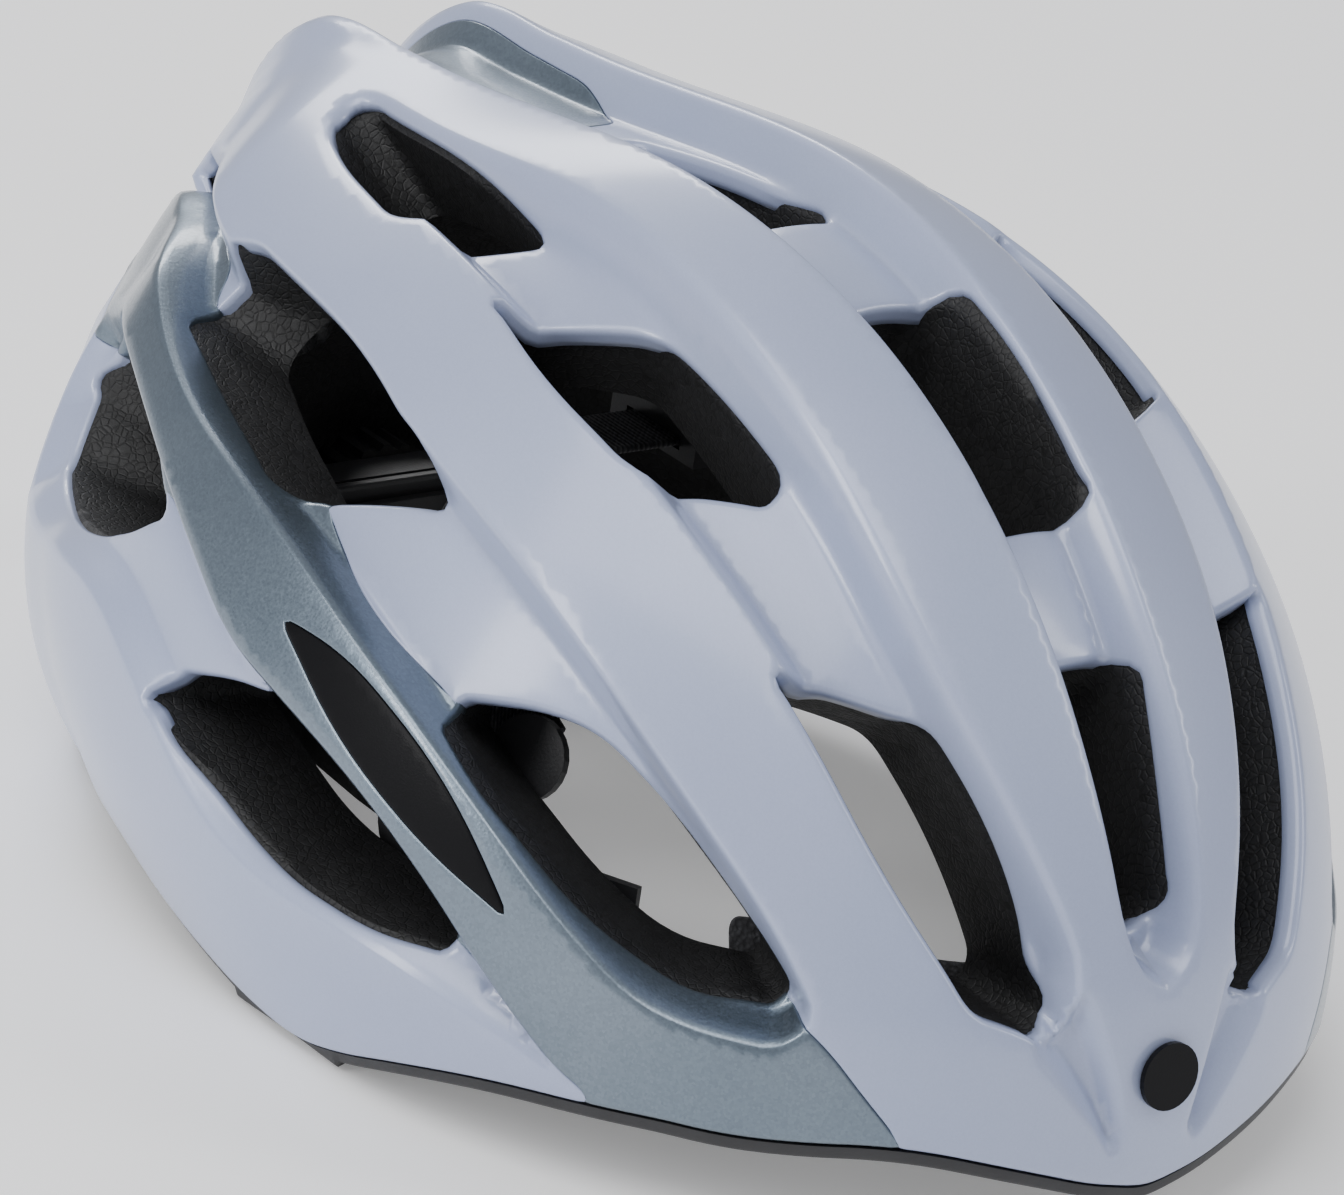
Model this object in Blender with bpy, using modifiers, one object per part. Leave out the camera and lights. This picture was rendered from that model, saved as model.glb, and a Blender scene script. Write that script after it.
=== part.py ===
"""Road cycling helmet: moulded shell, foam liner, retention cradle with dial, and webbing straps.

Metres, +Z up, front of the helmet towards -Y, wearer's left at +X, resting on its lower rim.
The outer form is one smooth dome. A place on it is given by two angles in degrees from the crown,
(sideways, rearwards), so an outline is a short list of such pairs for one side of the helmet.
"""
import math

import bmesh
import bpy
import numpy as np
from mathutils import Matrix, Vector
from mathutils.geometry import delaunay_2d_cdt

MM = 0.001

# Outer dome, millimetres
HALF_WIDTH = 104.5
HALF_LENGTH = 141.5
WAIST_HEIGHT = 40.8          # height of the widest line at mid-length
WAIST_RISE = 21.5            # how far that line rises from mid-length to the back
SQUARENESS = 0.03            # how much the section is flattened between side and crown
CROWN_HEIGHTS = (119, 115, 112, 104, 100, 124, 122)   # above the waist, every 30 degrees front to back
NAPE_BULGE = 5.0             # how far the lower rear corners stand out
NAPE_BULGE_AT = (78, 82)
NAPE_BULGE_REACH = 34

# Head cavity, millimetres
CAVITY_HALF_WIDTH = 79
CAVITY_HALF_LENGTH = 110
CAVITY_WAIST = 40.5
CAVITY_RISE = 18
CAVITY_CROWN = 80
CAVITY_DROP = 90             # how fast the wall's lower edge falls below the waist

# Thicknesses and clearances, millimetres
SHELL_THICKNESS = 1.6
CLEARANCE = 0.3
TRIM_HEIGHT = 3.2
TRIM_INSET = 0.8             # below the shell's outer face
TRIM_OVERLAP = 4.0           # reach outside the cavity wall's lower edge
LAND_BELOW = 1.2             # the rim's lower face is flat, on the ground, where it comes this low
PAD_THICKNESS = 6.0
PAD_GAP = 1.2                # behind the pads, more than the flat facets of a curved wall cut in

# Mesh density, degrees
FILL_PITCH = 9.0
EDGE_PITCH = 6.5
NEAR_EDGE = 2.6

# Outlines of the shell, degrees (sideways, rearwards)
RIM = [(0, -94.5), (10, -93), (24, -88.5), (39, -82), (51, -77), (60, -72), (74, -61), (84, -51),
       (93.5, -41), (102, -31), (107.5, -22), (110, -10), (110, 3), (109, 14), (106.5, 25),
       (104.5, 38), (103, 52), (98, 68), (86, 84), (68, 98), (45, 108), (20, 114), (0, 115)]

CENTRE_VENTS = {
    "front": [(0, -73), (4.5, -71), (5.5, -50.5), (0, -50.5)],
    "middle": [(0, -39.5), (6.5, -39.5), (7, -17.5), (0, -17)],
    "rear": [(0, -5), (6.5, -5), (5, 8), (2.5, 15.5), (0, 16)],
}
SIDE_VENTS = {
    "inner_rear": [(25, 31), (18.5, 32), (20, 17), (22.5, 4), (26.5, 7), (31.5, 14), (28, 25)],
    "inner_middle": [(34, -1), (31, -4), (23.5, -11), (23.5, -28.5), (26.5, -29.5), (36.5, -22), (37, -11)],
    "inner_front": [(36, -41), (27.5, -47), (22.5, -50.5), (19.5, -61), (16, -76), (18.5, -78.5),
                    (28, -73.5), (34, -60)],
    "outer_rear": [(50.5, 31), (47.5, 32), (41.5, 30), (40, 26), (45, 5), (50.5, -9), (52.5, -10),
                   (60.5, 2), (61, 7), (56.5, 20)],
    "outer_front": [(66, -24.5), (64, -23.5), (57, -31), (53.5, -36.5), (51, -50.5), (47.5, -64.5),
                    (50, -65), (60, -58), (65, -46.5), (66.5, -32)],
    "lower_front": [(87.5, 12), (84, 10), (79.5, -1), (77.5, -9), (77.5, -25.5), (78, -37.5),
                    (81, -38.5), (86.5, -29.5), (90.5, -18), (91.5, -9), (90, 2)],
    "lower_rear": [(70.5, 19.5), (61, 30.5), (53, 45.5), (50, 58), (53, 67), (64, 64), (73, 52),
                   (76, 38), (75.5, 28.5)],
    "band_tip": [(27.3, 57), (30.5, 58), (31.5, 61.5), (29.8, 64), (27, 63)],
    "exhaust": [(6, 72), (18, 69), (30, 66.5), (36, 72), (29, 81), (14, 84), (6, 83.5)],
}
BAND = [(46, 67), (41, 66.5), (35.5, 64), (32.5, 61), (31.2, 57), (32.5, 52), (36, 45.5), (40, 39),
        (42.5, 34), (47, 33), (51.5, 26), (57, 11), (58, 4),
        (62.5, -3), (65, -12), (65, -22), (63.5, -31), (62, -46), (57, -57), (50, -62.5), (45, -70),
        (42, -76), (38.5, -81.5), (36, -92), (62, -88), (84, -70), (73, -60.5), (75.5, -55),
        (78.5, -45), (80, -36), (80.5, -28), (80, -10), (76, 1), (70, 13.5), (67, 27), (57, 45),
        (53.5, 57), (50, 65)]
INSERT = [(70.5, -5), (68.5, -14), (68.5, -30), (71, -43), (74.5, -32), (75, -18)]
REAR_PANEL = [(0, 20.5), (6, 21.5), (8, 27), (8.5, 45), (8.5, 64), (10, 75), (9, 80), (4, 89), (0, 89)]

# Valleys between the ribs: outline, depth in millimetres, width of the sloping side in degrees
CENTRE_VALLEY = [(0, -74.5), (4, -70), (5.5, -62), (6.5, -48), (7.5, -29), (9, -10), (9.5, 5), (10, 66),
                 (0, 72)]
REAR_DECK = [(0, 66), (22, 65), (33, 61), (43, 68), (40, 80), (30, 86), (14, 89), (0, 89)]
INNER_VALLEY = [(26, 33), (18, 33), (17, 30), (18.5, 15), (17.5, 0), (18.5, -15), (19.5, -45), (17, -58),
                (12, -73), (15, -81), (23.5, -77.5), (30, -70.5), (34, -60.5), (37, -42), (38, -25),
                (37.5, -12), (35, 0), (33, 10), (29, 25)]
NOSE_CREASE = [(12, -74), (8, -82), (5, -90), (8.5, -91), (17, -83), (22, -78)]
OUTER_VALLEY = [(27, 57), (29, 50), (33.5, 43), (38.5, 36), (42, 28), (44, 18), (47, 0), (49.5, -12),
                (50.5, -30),
                (49.5, -45), (46.5, -60), (45, -68), (49.5, -67), (56.5, -61.5), (62, -56.5),
                (65.5, -45), (66.5, -30), (66, -15), (63.5, -3), (61, 8), (58, 20), (53.5, 28),
                (48.5, 36), (42, 44.5), (37.5, 51), (34, 57), (32, 64.5), (27, 64.5)]
LOWER_VALLEY = [(47, 64), (49, 56), (52, 46), (60, 31), (69.5, 14), (76.5, 0), (77, -10), (77, -30),
                (77.5, -45), (75.5, -55.5), (73.5, -61), (77, -54.5), (82, -44.5), (87, -32.5),
                (92, -19.5), (94, -10), (93, 0), (87, 13), (81, 25), (79, 40), (76, 54), (66, 68),
                (54, 71)]
VALLEYS = [
    (CENTRE_VALLEY, True, 9.0, 3.2),
    (REAR_DECK, True, 11.0, 3.5),
    (INNER_VALLEY, False, 9.0, 4.6),
    (NOSE_CREASE, False, 4.0, 3.4),
    (OUTER_VALLEY, False, 9.0, 4.6),
    (LOWER_VALLEY, False, 5.5, 4.0),
]
# Tilt of the rear: how far the shell rises or falls there, millimetres, by degrees from the centre
REAR_TILT_AT = (0, 8, 11, 14, 18, 22, 26, 34, 46, 56, 66)
REAR_TILT = (0, 3, 3, 0, -2.5, -3.5, -4.5, -5, -5, -2, 0)
REAR_TILT_FROM, REAR_TILT_TO = 36, 78
SHARP_TURN = math.radians(35)
CORNER = 2.4                 # how far a sharp corner is cut back, degrees

# Pads on the cavity, degrees
BROW_PAD = [(0, -91), (30, -85), (56, -69), (51, -60), (27, -75), (0, -81)]
CROWN_PAD = [(10.5, -45), (16.5, -45), (17.5, -20), (16, 8), (11, 10), (10.5, -20)]
SIDE_PAD = [(41, -42), (48, -40), (46.5, -6), (42.5, 6), (40, -14)]

# Retention cradle, millimetres
PIVOT = (68.0, -23.0, 36.0)
PIN_RADIUS = 3.0
PIN_HOLE_RADIUS = 3.4
ARM_HEIGHT = 11.0
ARM_THICKNESS = 1.6
HEADBAND_INSET = 6.0         # the front headband arms, inside the cavity wall
CRADLE_REACH = 110.0         # from the pivot line to the back of the cradle arms
PLATE_INSET = 6.0
PLATE_HEIGHT = 20.0
HOUSING_HALF_LENGTH = 23.0
HOUSING_HALF_HEIGHT = 13.0
HOUSING_FRONT = 82.6
HOUSING_JOINT = 85.8
HOUSING_BACK = 93.6
DIAL_RADIUS = 15.0
DIAL_RIDGES = 20
DIAL_FRONT = 94.2
DIAL_BACK = 103.0
PINION_TEETH = 8
PINION_PITCH_RADIUS = 3.2
TOOTH_PITCH = 2 * math.pi * PINION_PITCH_RADIUS / PINION_TEETH
RACK_FRONT = 86.2
RACK_BACK = 87.6
RACK_BAR = 4.2
RACK_ENDS = (-2 * TOOTH_PITCH, 39.0)     # inner and outer end of the left rack at rest
RACK_TEETH = 8
SHAFT_RADIUS = 2.0

# Straps, millimetres
WEBBING = (15.0, 1.4)
STRAP_TOP = 94.0
STRAP_CORNER = 44.0
DIVIDER_AT = (59.0, 0.0, 68.0)
DIVIDER_SIZE = (23.0, 16.0, 5.0)         # across, along the strap, thick
ANCHORS = {"front": (-44.0, 58.0), "rear": (48.0, 58.0)}   # (rearwards, height) on the cavity wall
PLUG_RADIUS = 7.5
BUCKLE_PLANE = 8.0           # where the two buckle halves meet, towards the wearer's left
BUCKLE_HALF_WIDTH = 12.5
KEEPER_AT = 29.2

BADGE_AT = (0.0, -84.0)      # degrees, on the nose
BADGE_RADIUS = 6.0

SIDES = ((1, "left"), (-1, "right"))

MATERIALS = {
    "shell_white": ((0.74, 0.76, 0.86), 0.18, 0.0),
    "band_silver": ((0.42, 0.50, 0.55), 0.28, 0.7),
    "insert_black": ((0.03, 0.03, 0.04), 0.4, 0.0),
    "foam_black": ((0.02, 0.02, 0.022), 0.8, 0.0),
    "trim_black": ((0.025, 0.025, 0.03), 0.5, 0.0),
    "pad_fabric": ((0.05, 0.05, 0.055), 0.9, 0.0),
    "nylon_black": ((0.035, 0.035, 0.04), 0.45, 0.0),
    "webbing_black": ((0.03, 0.03, 0.035), 0.85, 0.0),
    "rubber_black": ((0.02, 0.02, 0.02), 0.7, 0.0),
}


def clear_scene():
    for thing in list(bpy.data.objects):
        bpy.data.objects.remove(thing, do_unlink=True)


def new_collection(name):
    collection = bpy.data.collections.new(name)
    bpy.context.scene.collection.children.link(collection)
    return collection


def make_materials():
    made = {}
    for name, (colour, roughness, metallic) in MATERIALS.items():
        material = bpy.data.materials.new(name)
        material.use_nodes = True
        shader = material.node_tree.nodes["Principled BSDF"]
        shader.inputs["Base Color"].default_value = (*colour, 1)
        shader.inputs["Roughness"].default_value = roughness
        shader.inputs["Metallic"].default_value = metallic
        made[name] = material
    return made


# ---------------------------------------------------------------- the smooth dome and its relief

def cubic_through(places, values):
    """Cubic spline through the values, level at both ends, as a function of place."""
    count = len(places)
    step = np.diff(places)
    slope = np.diff(values) / step
    system = np.zeros((count, count))
    right = np.zeros(count)
    system[0, :2] = 2 * step[0], step[0]
    system[-1, -2:] = step[-1], 2 * step[-1]
    right[0] = 6 * slope[0]
    right[-1] = -6 * slope[-1]
    for i in range(1, count - 1):
        system[i, i - 1:i + 2] = step[i - 1], 2 * (step[i - 1] + step[i]), step[i]
        right[i] = 6 * (slope[i] - slope[i - 1])
    bend = np.linalg.solve(system, right)

    def curve(x):
        i = np.clip(np.searchsorted(places, x) - 1, 0, count - 2)
        t = x - places[i]
        first = slope[i] - step[i] * (2 * bend[i] + bend[i + 1]) / 6
        return values[i] + t * first + bend[i] * t**2 / 2 + (bend[i + 1] - bend[i]) * t**3 / (6 * step[i])

    return curve


crown_height = cubic_through(np.linspace(0, math.pi, len(CROWN_HEIGHTS)), np.array(CROWN_HEIGHTS, float))


def direction(uv):
    """Unit vectors for places given in degrees from the crown."""
    angle = np.radians(np.hypot(uv[:, 0], uv[:, 1])) + 1e-9
    spread = np.sin(angle) / angle
    return np.radians(uv[:, 0]) * spread, np.radians(uv[:, 1]) * spread, np.cos(angle)


def dome(uv):
    dx, dy, dz = direction(uv)
    flatten = 1 - SQUARENESS * (2 * dx * dz / (dx * dx + dz * dz + 1e-9))**2
    rise = crown_height(np.arccos(np.clip(-dy, -1, 1)))
    waist = WAIST_HEIGHT + WAIST_RISE * dy
    return np.stack([HALF_WIDTH * dx * flatten, HALF_LENGTH * dy, waist + rise * dz * flatten], -1)


def dome_normal(uv):
    small = 0.05
    aside = np.array([small, 0.0])
    along = np.array([0.0, small])
    normal = np.cross(dome(uv + aside) - dome(uv - aside), dome(uv + along) - dome(uv - along))
    return normal / np.linalg.norm(normal, axis=1, keepdims=True)


def distance_inside(uv, outline):
    """Distance from each place to a closed outline, positive inside it."""
    start = np.asarray(outline, float)
    end = np.roll(start, -1, axis=0)
    edge = end - start
    offset = uv[:, None, :] - start[None]
    along = np.clip((offset * edge).sum(-1) / (edge * edge).sum(-1), 0, 1)
    distance = np.linalg.norm(offset - along[..., None] * edge, axis=-1).min(axis=1)
    x, y = uv[:, :1], uv[:, 1:]
    spans = (start[:, 1] > y) != (end[:, 1] > y)
    rise = np.where(edge[:, 1] == 0, 1.0, edge[:, 1])
    crossing = start[:, 0] + (y - start[:, 1]) * edge[:, 0] / rise
    inside = (spans & (x < crossing)).sum(axis=1) % 2 == 1
    return np.where(inside, distance, -distance)


def smooth_step(t):
    t = np.clip(t, 0, 1)
    return t * t * (3 - 2 * t)


def relief(uv):
    """Height of the shell above the smooth dome: valleys, the tilt of the rear and the nape corners."""
    side = np.abs(uv[:, 0])
    place = np.stack([side, uv[:, 1]], -1)
    depth = np.zeros(len(uv))
    for outline, depth_mm, slope in valley_outlines:
        depth = np.maximum(depth, depth_mm * smooth_step(distance_inside(place, outline) / slope))
    away = np.hypot(side - NAPE_BULGE_AT[0], uv[:, 1] - NAPE_BULGE_AT[1])
    share = smooth_step((uv[:, 1] - REAR_TILT_FROM) / 14) * smooth_step((REAR_TILT_TO - uv[:, 1]) / 16)
    tilt = np.interp(side, REAR_TILT_AT, REAR_TILT) * share
    return NAPE_BULGE * smooth_step(1 - away / NAPE_BULGE_REACH) + tilt - depth


def shell_surface(uv, inset=0.0):
    return dome(uv) + dome_normal(uv) * (relief(uv) - inset)[:, None]


def cavity_surface(uv, inset=0.0):
    """Inside of the foam: an ellipsoid above its waist, with upright walls below it."""
    dx, dy, dz = direction(uv)
    level = np.hypot(dx, dy) + 1e-9
    widen = np.where(dz < 0, 1 / level, 1)
    height = np.where(dz > 0, CAVITY_CROWN - inset, CAVITY_DROP)
    return np.stack([(CAVITY_HALF_WIDTH - inset) * dx * widen, (CAVITY_HALF_LENGTH - inset) * dy * widen,
                     CAVITY_WAIST + CAVITY_RISE * dy + height * dz], -1)


# ---------------------------------------------------------------- outlines

def both_sides(half):
    """Close a half outline that starts and ends on the centre line."""
    return half + [(-x, y) for x, y in reversed(half) if x > 0]


def rounded(corners, pitch):
    """Closed outline with its corners rounded and its long runs divided."""
    points = [np.array(p, float) for p in corners]
    count = len(points)
    line = []
    for i, corner in enumerate(points):
        back = points[i - 1] - corner
        ahead = points[(i + 1) % count] - corner
        shortest = min(np.linalg.norm(back), np.linalg.norm(ahead))
        back /= np.linalg.norm(back)
        ahead /= np.linalg.norm(ahead)
        turn = math.pi - math.acos(np.clip(back @ ahead, -1, 1))
        if turn > SHARP_TURN:
            cut = min(CORNER, 0.42 * shortest)
            steps = (0, 0.5, 1)
        else:
            cut = 0.5 * shortest
            steps = (0.5,)
        for t in steps:
            line.append(corner + (1 - t)**2 * cut * back + t**2 * cut * ahead)
    full = []
    for here, there in zip(line, line[1:] + line[:1]):
        parts = max(1, round(np.linalg.norm(there - here) / pitch))
        full += [here + (there - here) * k / parts for k in range(parts)]
    return np.array(full)


valley_outlines = [(rounded(both_sides(points) if centred else points, EDGE_PITCH), depth_mm, slope)
                   for points, centred, depth_mm, slope in VALLEYS]
rim_outline = rounded(both_sides(RIM), EDGE_PITCH)
vent_outlines = [rounded(both_sides(points), EDGE_PITCH) for points in CENTRE_VENTS.values()]
vent_outlines += [rounded(points, EDGE_PITCH) for points in SIDE_VENTS.values()]
band_outline = rounded(BAND, EDGE_PITCH)
insert_outline = rounded(INSERT, EDGE_PITCH)
panel_outline = rounded(both_sides(REAR_PANEL), EDGE_PITCH)


# ---------------------------------------------------------------- one triangulation for every skin

def triangulate(outlines, guide_lines=()):
    """Triangles over the left half, with every outline as edges: places and triples of indices."""
    places, edges = [], []
    for line in outlines:
        first = len(places)
        places += [tuple(p) for p in line]
        edges += [(first + i, first + (i + 1) % len(line)) for i in range(len(line))]
    places += [(0, -130), (0, 130)]
    edges.append((len(places) - 2, len(places) - 1))

    extra = [tuple(p) for line in guide_lines for p in line]
    rows = np.arange(-99, 123, FILL_PITCH * 0.87)
    for k, row in enumerate(rows):
        extra += [(x, row) for x in np.arange(FILL_PITCH * (0.5 + 0.5 * (k % 2)), 116, FILL_PITCH)]
        extra.append((0, row))
    kept = []
    for place in extra:
        here = np.array([place], float)
        clear = all(abs(distance_inside(here, line)[0]) > NEAR_EDGE for line in outlines)
        apart = all(math.dist(place, other) > NEAR_EDGE * 1.3 for other in kept)
        if clear and apart and (place[0] == 0 or place[0] > NEAR_EDGE):
            kept.append(place)
    places += kept
    result = delaunay_2d_cdt([Vector(p) for p in places], edges, [], 0, 1e-4)
    uv = np.array([tuple(p) for p in result[0]], float)
    uv[np.abs(uv[:, 0]) < 1e-4, 0] = 0
    faces = np.array([list(f) for f in result[2]])
    middle = uv[faces].mean(axis=1)
    keep = (middle[:, 0] > 0) & (distance_inside(middle, outlines[0]) > 0)
    return uv, faces[keep]


def boundary_edges(faces):
    """Directed edges that belong to one face only."""
    edges = {}
    for a, b, c in faces:
        for pair in ((a, b), (b, c), (c, a)):
            edges[pair] = True
    return [pair for pair in edges if (pair[1], pair[0]) not in edges]


def draw_in(points, faces, edges, amount):
    """Move the boundary points inwards along the surface by the given amount."""
    owner = {}
    for face in faces:
        for k in range(3):
            owner[(face[k], face[(k + 1) % 3])] = face
    shift = np.zeros_like(points)
    for a, b in edges:
        face = owner[(a, b)]
        normal = np.cross(points[face[1]] - points[face[0]], points[face[2]] - points[face[0]])
        inwards = np.cross(normal, points[b] - points[a])
        inwards /= np.linalg.norm(inwards)
        shift[a] += inwards
        shift[b] += inwards
    length = np.linalg.norm(shift, axis=1, keepdims=True)
    return points + np.where(length > 0.2, shift / np.maximum(length, 0.2), 0) * amount


def skin_object(name, material, collection, uv, faces, outer, inner, centred, gap=CLEARANCE / 2):
    """Closed solid between two surfaces over the same triangles; a centred one is mirrored."""
    used = np.unique(faces)
    renumber = {old: new for new, old in enumerate(used)}
    faces = [[renumber[i] for i in face] for face in faces]
    places = uv[used]
    centre = places[:, 0] == 0
    edges = boundary_edges(faces)
    if centred:
        edges = [(a, b) for a, b in edges if not (centre[a] and centre[b])]
    layers = []
    for surface in (outer, inner):
        points = draw_in(surface(places), faces, edges, gap)
        if centred:
            points[centre, 0] = 0
        layers.append(points)
    count = len(places)
    solid = [tuple(f) for f in faces]
    solid += [(c + count, b + count, a + count) for a, b, c in faces]
    solid += [(b, a, a + count, b + count) for a, b in edges]
    mesh = bpy.data.meshes.new(name)
    mesh.from_pydata([tuple(p * MM) for p in np.concatenate(layers)], [], solid)
    thing = bpy.data.objects.new(name, mesh)
    collection.objects.link(thing)
    mesh.materials.append(material)
    if centred:
        mirror = thing.modifiers.new("other_half", 'MIRROR')
        mirror.merge_threshold = 0.00001
    return thing


def mirrored_copy(thing, name, collection):
    """The same piece for the wearer's right side, with its own mesh."""
    mesh = thing.data.copy()
    mesh.transform(Matrix.Scale(-1, 4, (1, 0, 0)))
    mesh.flip_normals()
    copy = bpy.data.objects.new(name, mesh)
    copy.location = thing.location * Vector((-1, 1, 1))
    for modifier in thing.modifiers:
        twin = copy.modifiers.new(modifier.name, modifier.type)
        if modifier.type == 'SOLIDIFY':
            twin.thickness, twin.offset = modifier.thickness, modifier.offset
        elif modifier.type == 'BEVEL':
            twin.width, twin.segments = modifier.width, modifier.segments
    collection.objects.link(copy)
    return copy


def build_shell(parts, mats):
    outlines = [rim_outline] + vent_outlines + [band_outline, insert_outline, panel_outline]
    guides = [line for line, _, _ in valley_outlines]
    uv, faces = triangulate(outlines, guides)
    middle = uv[faces].mean(axis=1)
    solid = np.ones(len(faces), bool)
    for line in vent_outlines:
        solid &= distance_inside(middle, line) < 0
    in_insert = distance_inside(middle, insert_outline) > 0
    in_band = (distance_inside(middle, band_outline) > 0) & ~in_insert
    in_panel = distance_inside(middle, panel_outline) > 0

    def outer(places):
        return shell_surface(places)

    def under(places):
        return shell_surface(places, SHELL_THICKNESS)

    def foam_outer(places):
        return shell_surface(places, SHELL_THICKNESS + CLEARANCE)

    plain = solid & ~in_insert & ~in_band & ~in_panel
    skin_object("outer_shell", mats["shell_white"], parts, uv, faces[plain], outer, under, True)
    skin_object("rear_centre_panel", mats["band_silver"], parts, uv, faces[solid & in_panel], outer,
                under, True)
    band = skin_object("side_band_left", mats["band_silver"], parts, uv, faces[solid & in_band], outer,
                       under, False)
    mirrored_copy(band, "side_band_right", parts)
    insert = skin_object("accent_insert_left", mats["insert_black"], parts, uv, faces[solid & in_insert],
                         outer, under, False)
    mirrored_copy(insert, "accent_insert_right", parts)
    foam = skin_object("foam_liner_left", mats["foam_black"], parts, uv, faces[solid], foam_outer,
                       cavity_surface, False)
    mirrored_copy(foam, "foam_liner_right", parts)


def build_rim_trim(parts, mats):
    """Black lower edge: a ring under the foam, flat where it meets the ground."""
    rim = rim_outline
    outer = shell_surface(rim, TRIM_INSET)
    down = dome(rim * 1.01) - dome(rim)
    down /= np.linalg.norm(down, axis=1, keepdims=True)
    inner = cavity_surface(rim)
    inwards = inner - outer
    inwards /= np.linalg.norm(inwards, axis=1, keepdims=True)
    section = [outer + down * 2 * CLEARANCE, outer + down * TRIM_HEIGHT,
               inner - inwards * TRIM_OVERLAP + down * TRIM_HEIGHT,
               inner - inwards * TRIM_OVERLAP + down * 2 * CLEARANCE]
    lowest = section[1][:, 2] < LAND_BELOW
    for corner in section[1:3]:
        corner[:, 2] = np.where(lowest, 0, np.maximum(corner[:, 2], 1.5))
    mesh = bmesh.new()
    rings = [[mesh.verts.new(p * MM) for p in corner] for corner in section]
    count = len(rim)
    for k in range(4):
        here, there = rings[k], rings[(k + 1) % 4]
        for i in range(count):
            j = (i + 1) % count
            mesh.faces.new((here[i], here[j], there[j], there[i]))
    bmesh.ops.recalc_face_normals(mesh, faces=mesh.faces)
    return finish(mesh, "rim_trim", mats["trim_black"], parts)


def finish(mesh, name, material, collection):
    data = bpy.data.meshes.new(name)
    mesh.to_mesh(data)
    mesh.free()
    if material:
        data.materials.append(material)
    thing = bpy.data.objects.new(name, data)
    collection.objects.link(thing)
    return thing


def pad_on_cavity(name, outline, centred, collection, material):
    line = rounded(both_sides(outline) if centred else outline, EDGE_PITCH)
    uv, faces = triangulate([line])

    def back(places):
        return cavity_surface(places, PAD_GAP)

    def front(places):
        return cavity_surface(places, PAD_GAP + PAD_THICKNESS)

    pad = skin_object(name, material, collection, uv, faces, back, front, centred)
    return pad


# ---------------------------------------------------------------- simple solids

def box(name, low, high, material, collection, bevel=0.0):
    mesh = bmesh.new()
    bmesh.ops.create_cube(mesh, size=1)
    low, high = Vector(low), Vector(high)
    bmesh.ops.scale(mesh, vec=(high - low) * MM, verts=mesh.verts)
    thing = finish(mesh, name, material, collection)
    thing.location = (low + high) / 2 * MM
    if bevel:
        edge = thing.modifiers.new("rounded_edges", 'BEVEL')
        edge.width, edge.segments = bevel * MM, 2
    return thing


def ribbon(name, path, face_normals, width, thickness, material, collection):
    """Flat strip along a path: a row of quads made solid."""
    mesh = bmesh.new()
    rows = []
    for i, (point, normal) in enumerate(zip(path, face_normals)):
        ahead = Vector(path[min(i + 1, len(path) - 1)]) - Vector(path[max(i - 1, 0)])
        across = Vector(normal).cross(ahead).normalized() * width / 2
        rows.append([mesh.verts.new((Vector(point) + s * across) * MM) for s in (-1, 1)])
    for (a, b), (c, d) in zip(rows, rows[1:]):
        mesh.faces.new((a, b, d, c))
    thing = finish(mesh, name, material, collection)
    solid = thing.modifiers.new("thickness", 'SOLIDIFY')
    solid.thickness, solid.offset = thickness * MM, 0
    return thing


def turned(name, profile, material, collection, steps=32):
    """Turned piece about its own Z; the profile runs down its outer side in millimetres."""
    mesh = bpy.data.meshes.new(name)
    mesh.from_pydata([(r * MM, 0, z * MM) for r, z in profile], [],
                     [(i, i + 1) for i in range(len(profile) - 1)])
    mesh.materials.append(material)
    thing = bpy.data.objects.new(name, mesh)
    collection.objects.link(thing)
    screw = thing.modifiers.new("turn", 'SCREW')
    screw.steps = screw.render_steps = steps
    screw.use_merge_vertices = True
    screw.merge_threshold = 0.00001
    screw.use_normal_flip = True
    return thing


def cylinder(name, radius, depth, material, collection, segments=24):
    """Cylinder about its own Z, centred on its origin."""
    mesh = bmesh.new()
    bmesh.ops.create_cone(mesh, cap_ends=True, segments=segments, radius1=radius * MM,
                          radius2=radius * MM, depth=depth * MM)
    return finish(mesh, name, material, collection)


def combine(target, other, operation, cutters):
    """Boolean with another object, which moves to the cutters."""
    for collection in list(other.users_collection):
        collection.objects.unlink(other)
    cutters.objects.link(other)
    other.hide_render = True
    other.display_type = 'WIRE'
    change = target.modifiers.new(operation.lower(), 'BOOLEAN')
    change.operation = operation
    change.object = other
    return target


# ---------------------------------------------------------------- retention cradle

def cradle_curve(angle, inset=0.0):
    """Point of the cradle arms, from the temple pivot (0) round to the back (90 degrees)."""
    across = (PIVOT[0] - inset) * max(math.cos(angle), 0)**0.6
    along = PIVOT[1] + (CRADLE_REACH - inset) * math.sin(angle)**0.8
    return Vector((across, along, PIVOT[2]))


def upright_strip(name, points, height, thickness, material, collection):
    """Strip on edge that follows points in plan."""
    normals = []
    for i in range(len(points)):
        ahead = points[min(i + 1, len(points) - 1)] - points[max(i - 1, 0)]
        normals.append(Vector((ahead.y, -ahead.x, 0)))
    return ribbon(name, points, normals, height, thickness, material, collection)


def to_side(points, side):
    return [Vector((p.x * side, p.y, p.z)) for p in points]


def pin_hole(side, collection):
    hole = cylinder("pin_hole", PIN_HOLE_RADIUS, 30, None, collection)
    hole.rotation_euler = (0, math.pi / 2, 0)
    hole.location = Vector((PIVOT[0] * side, PIVOT[1], PIVOT[2])) * MM
    return hole


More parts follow.
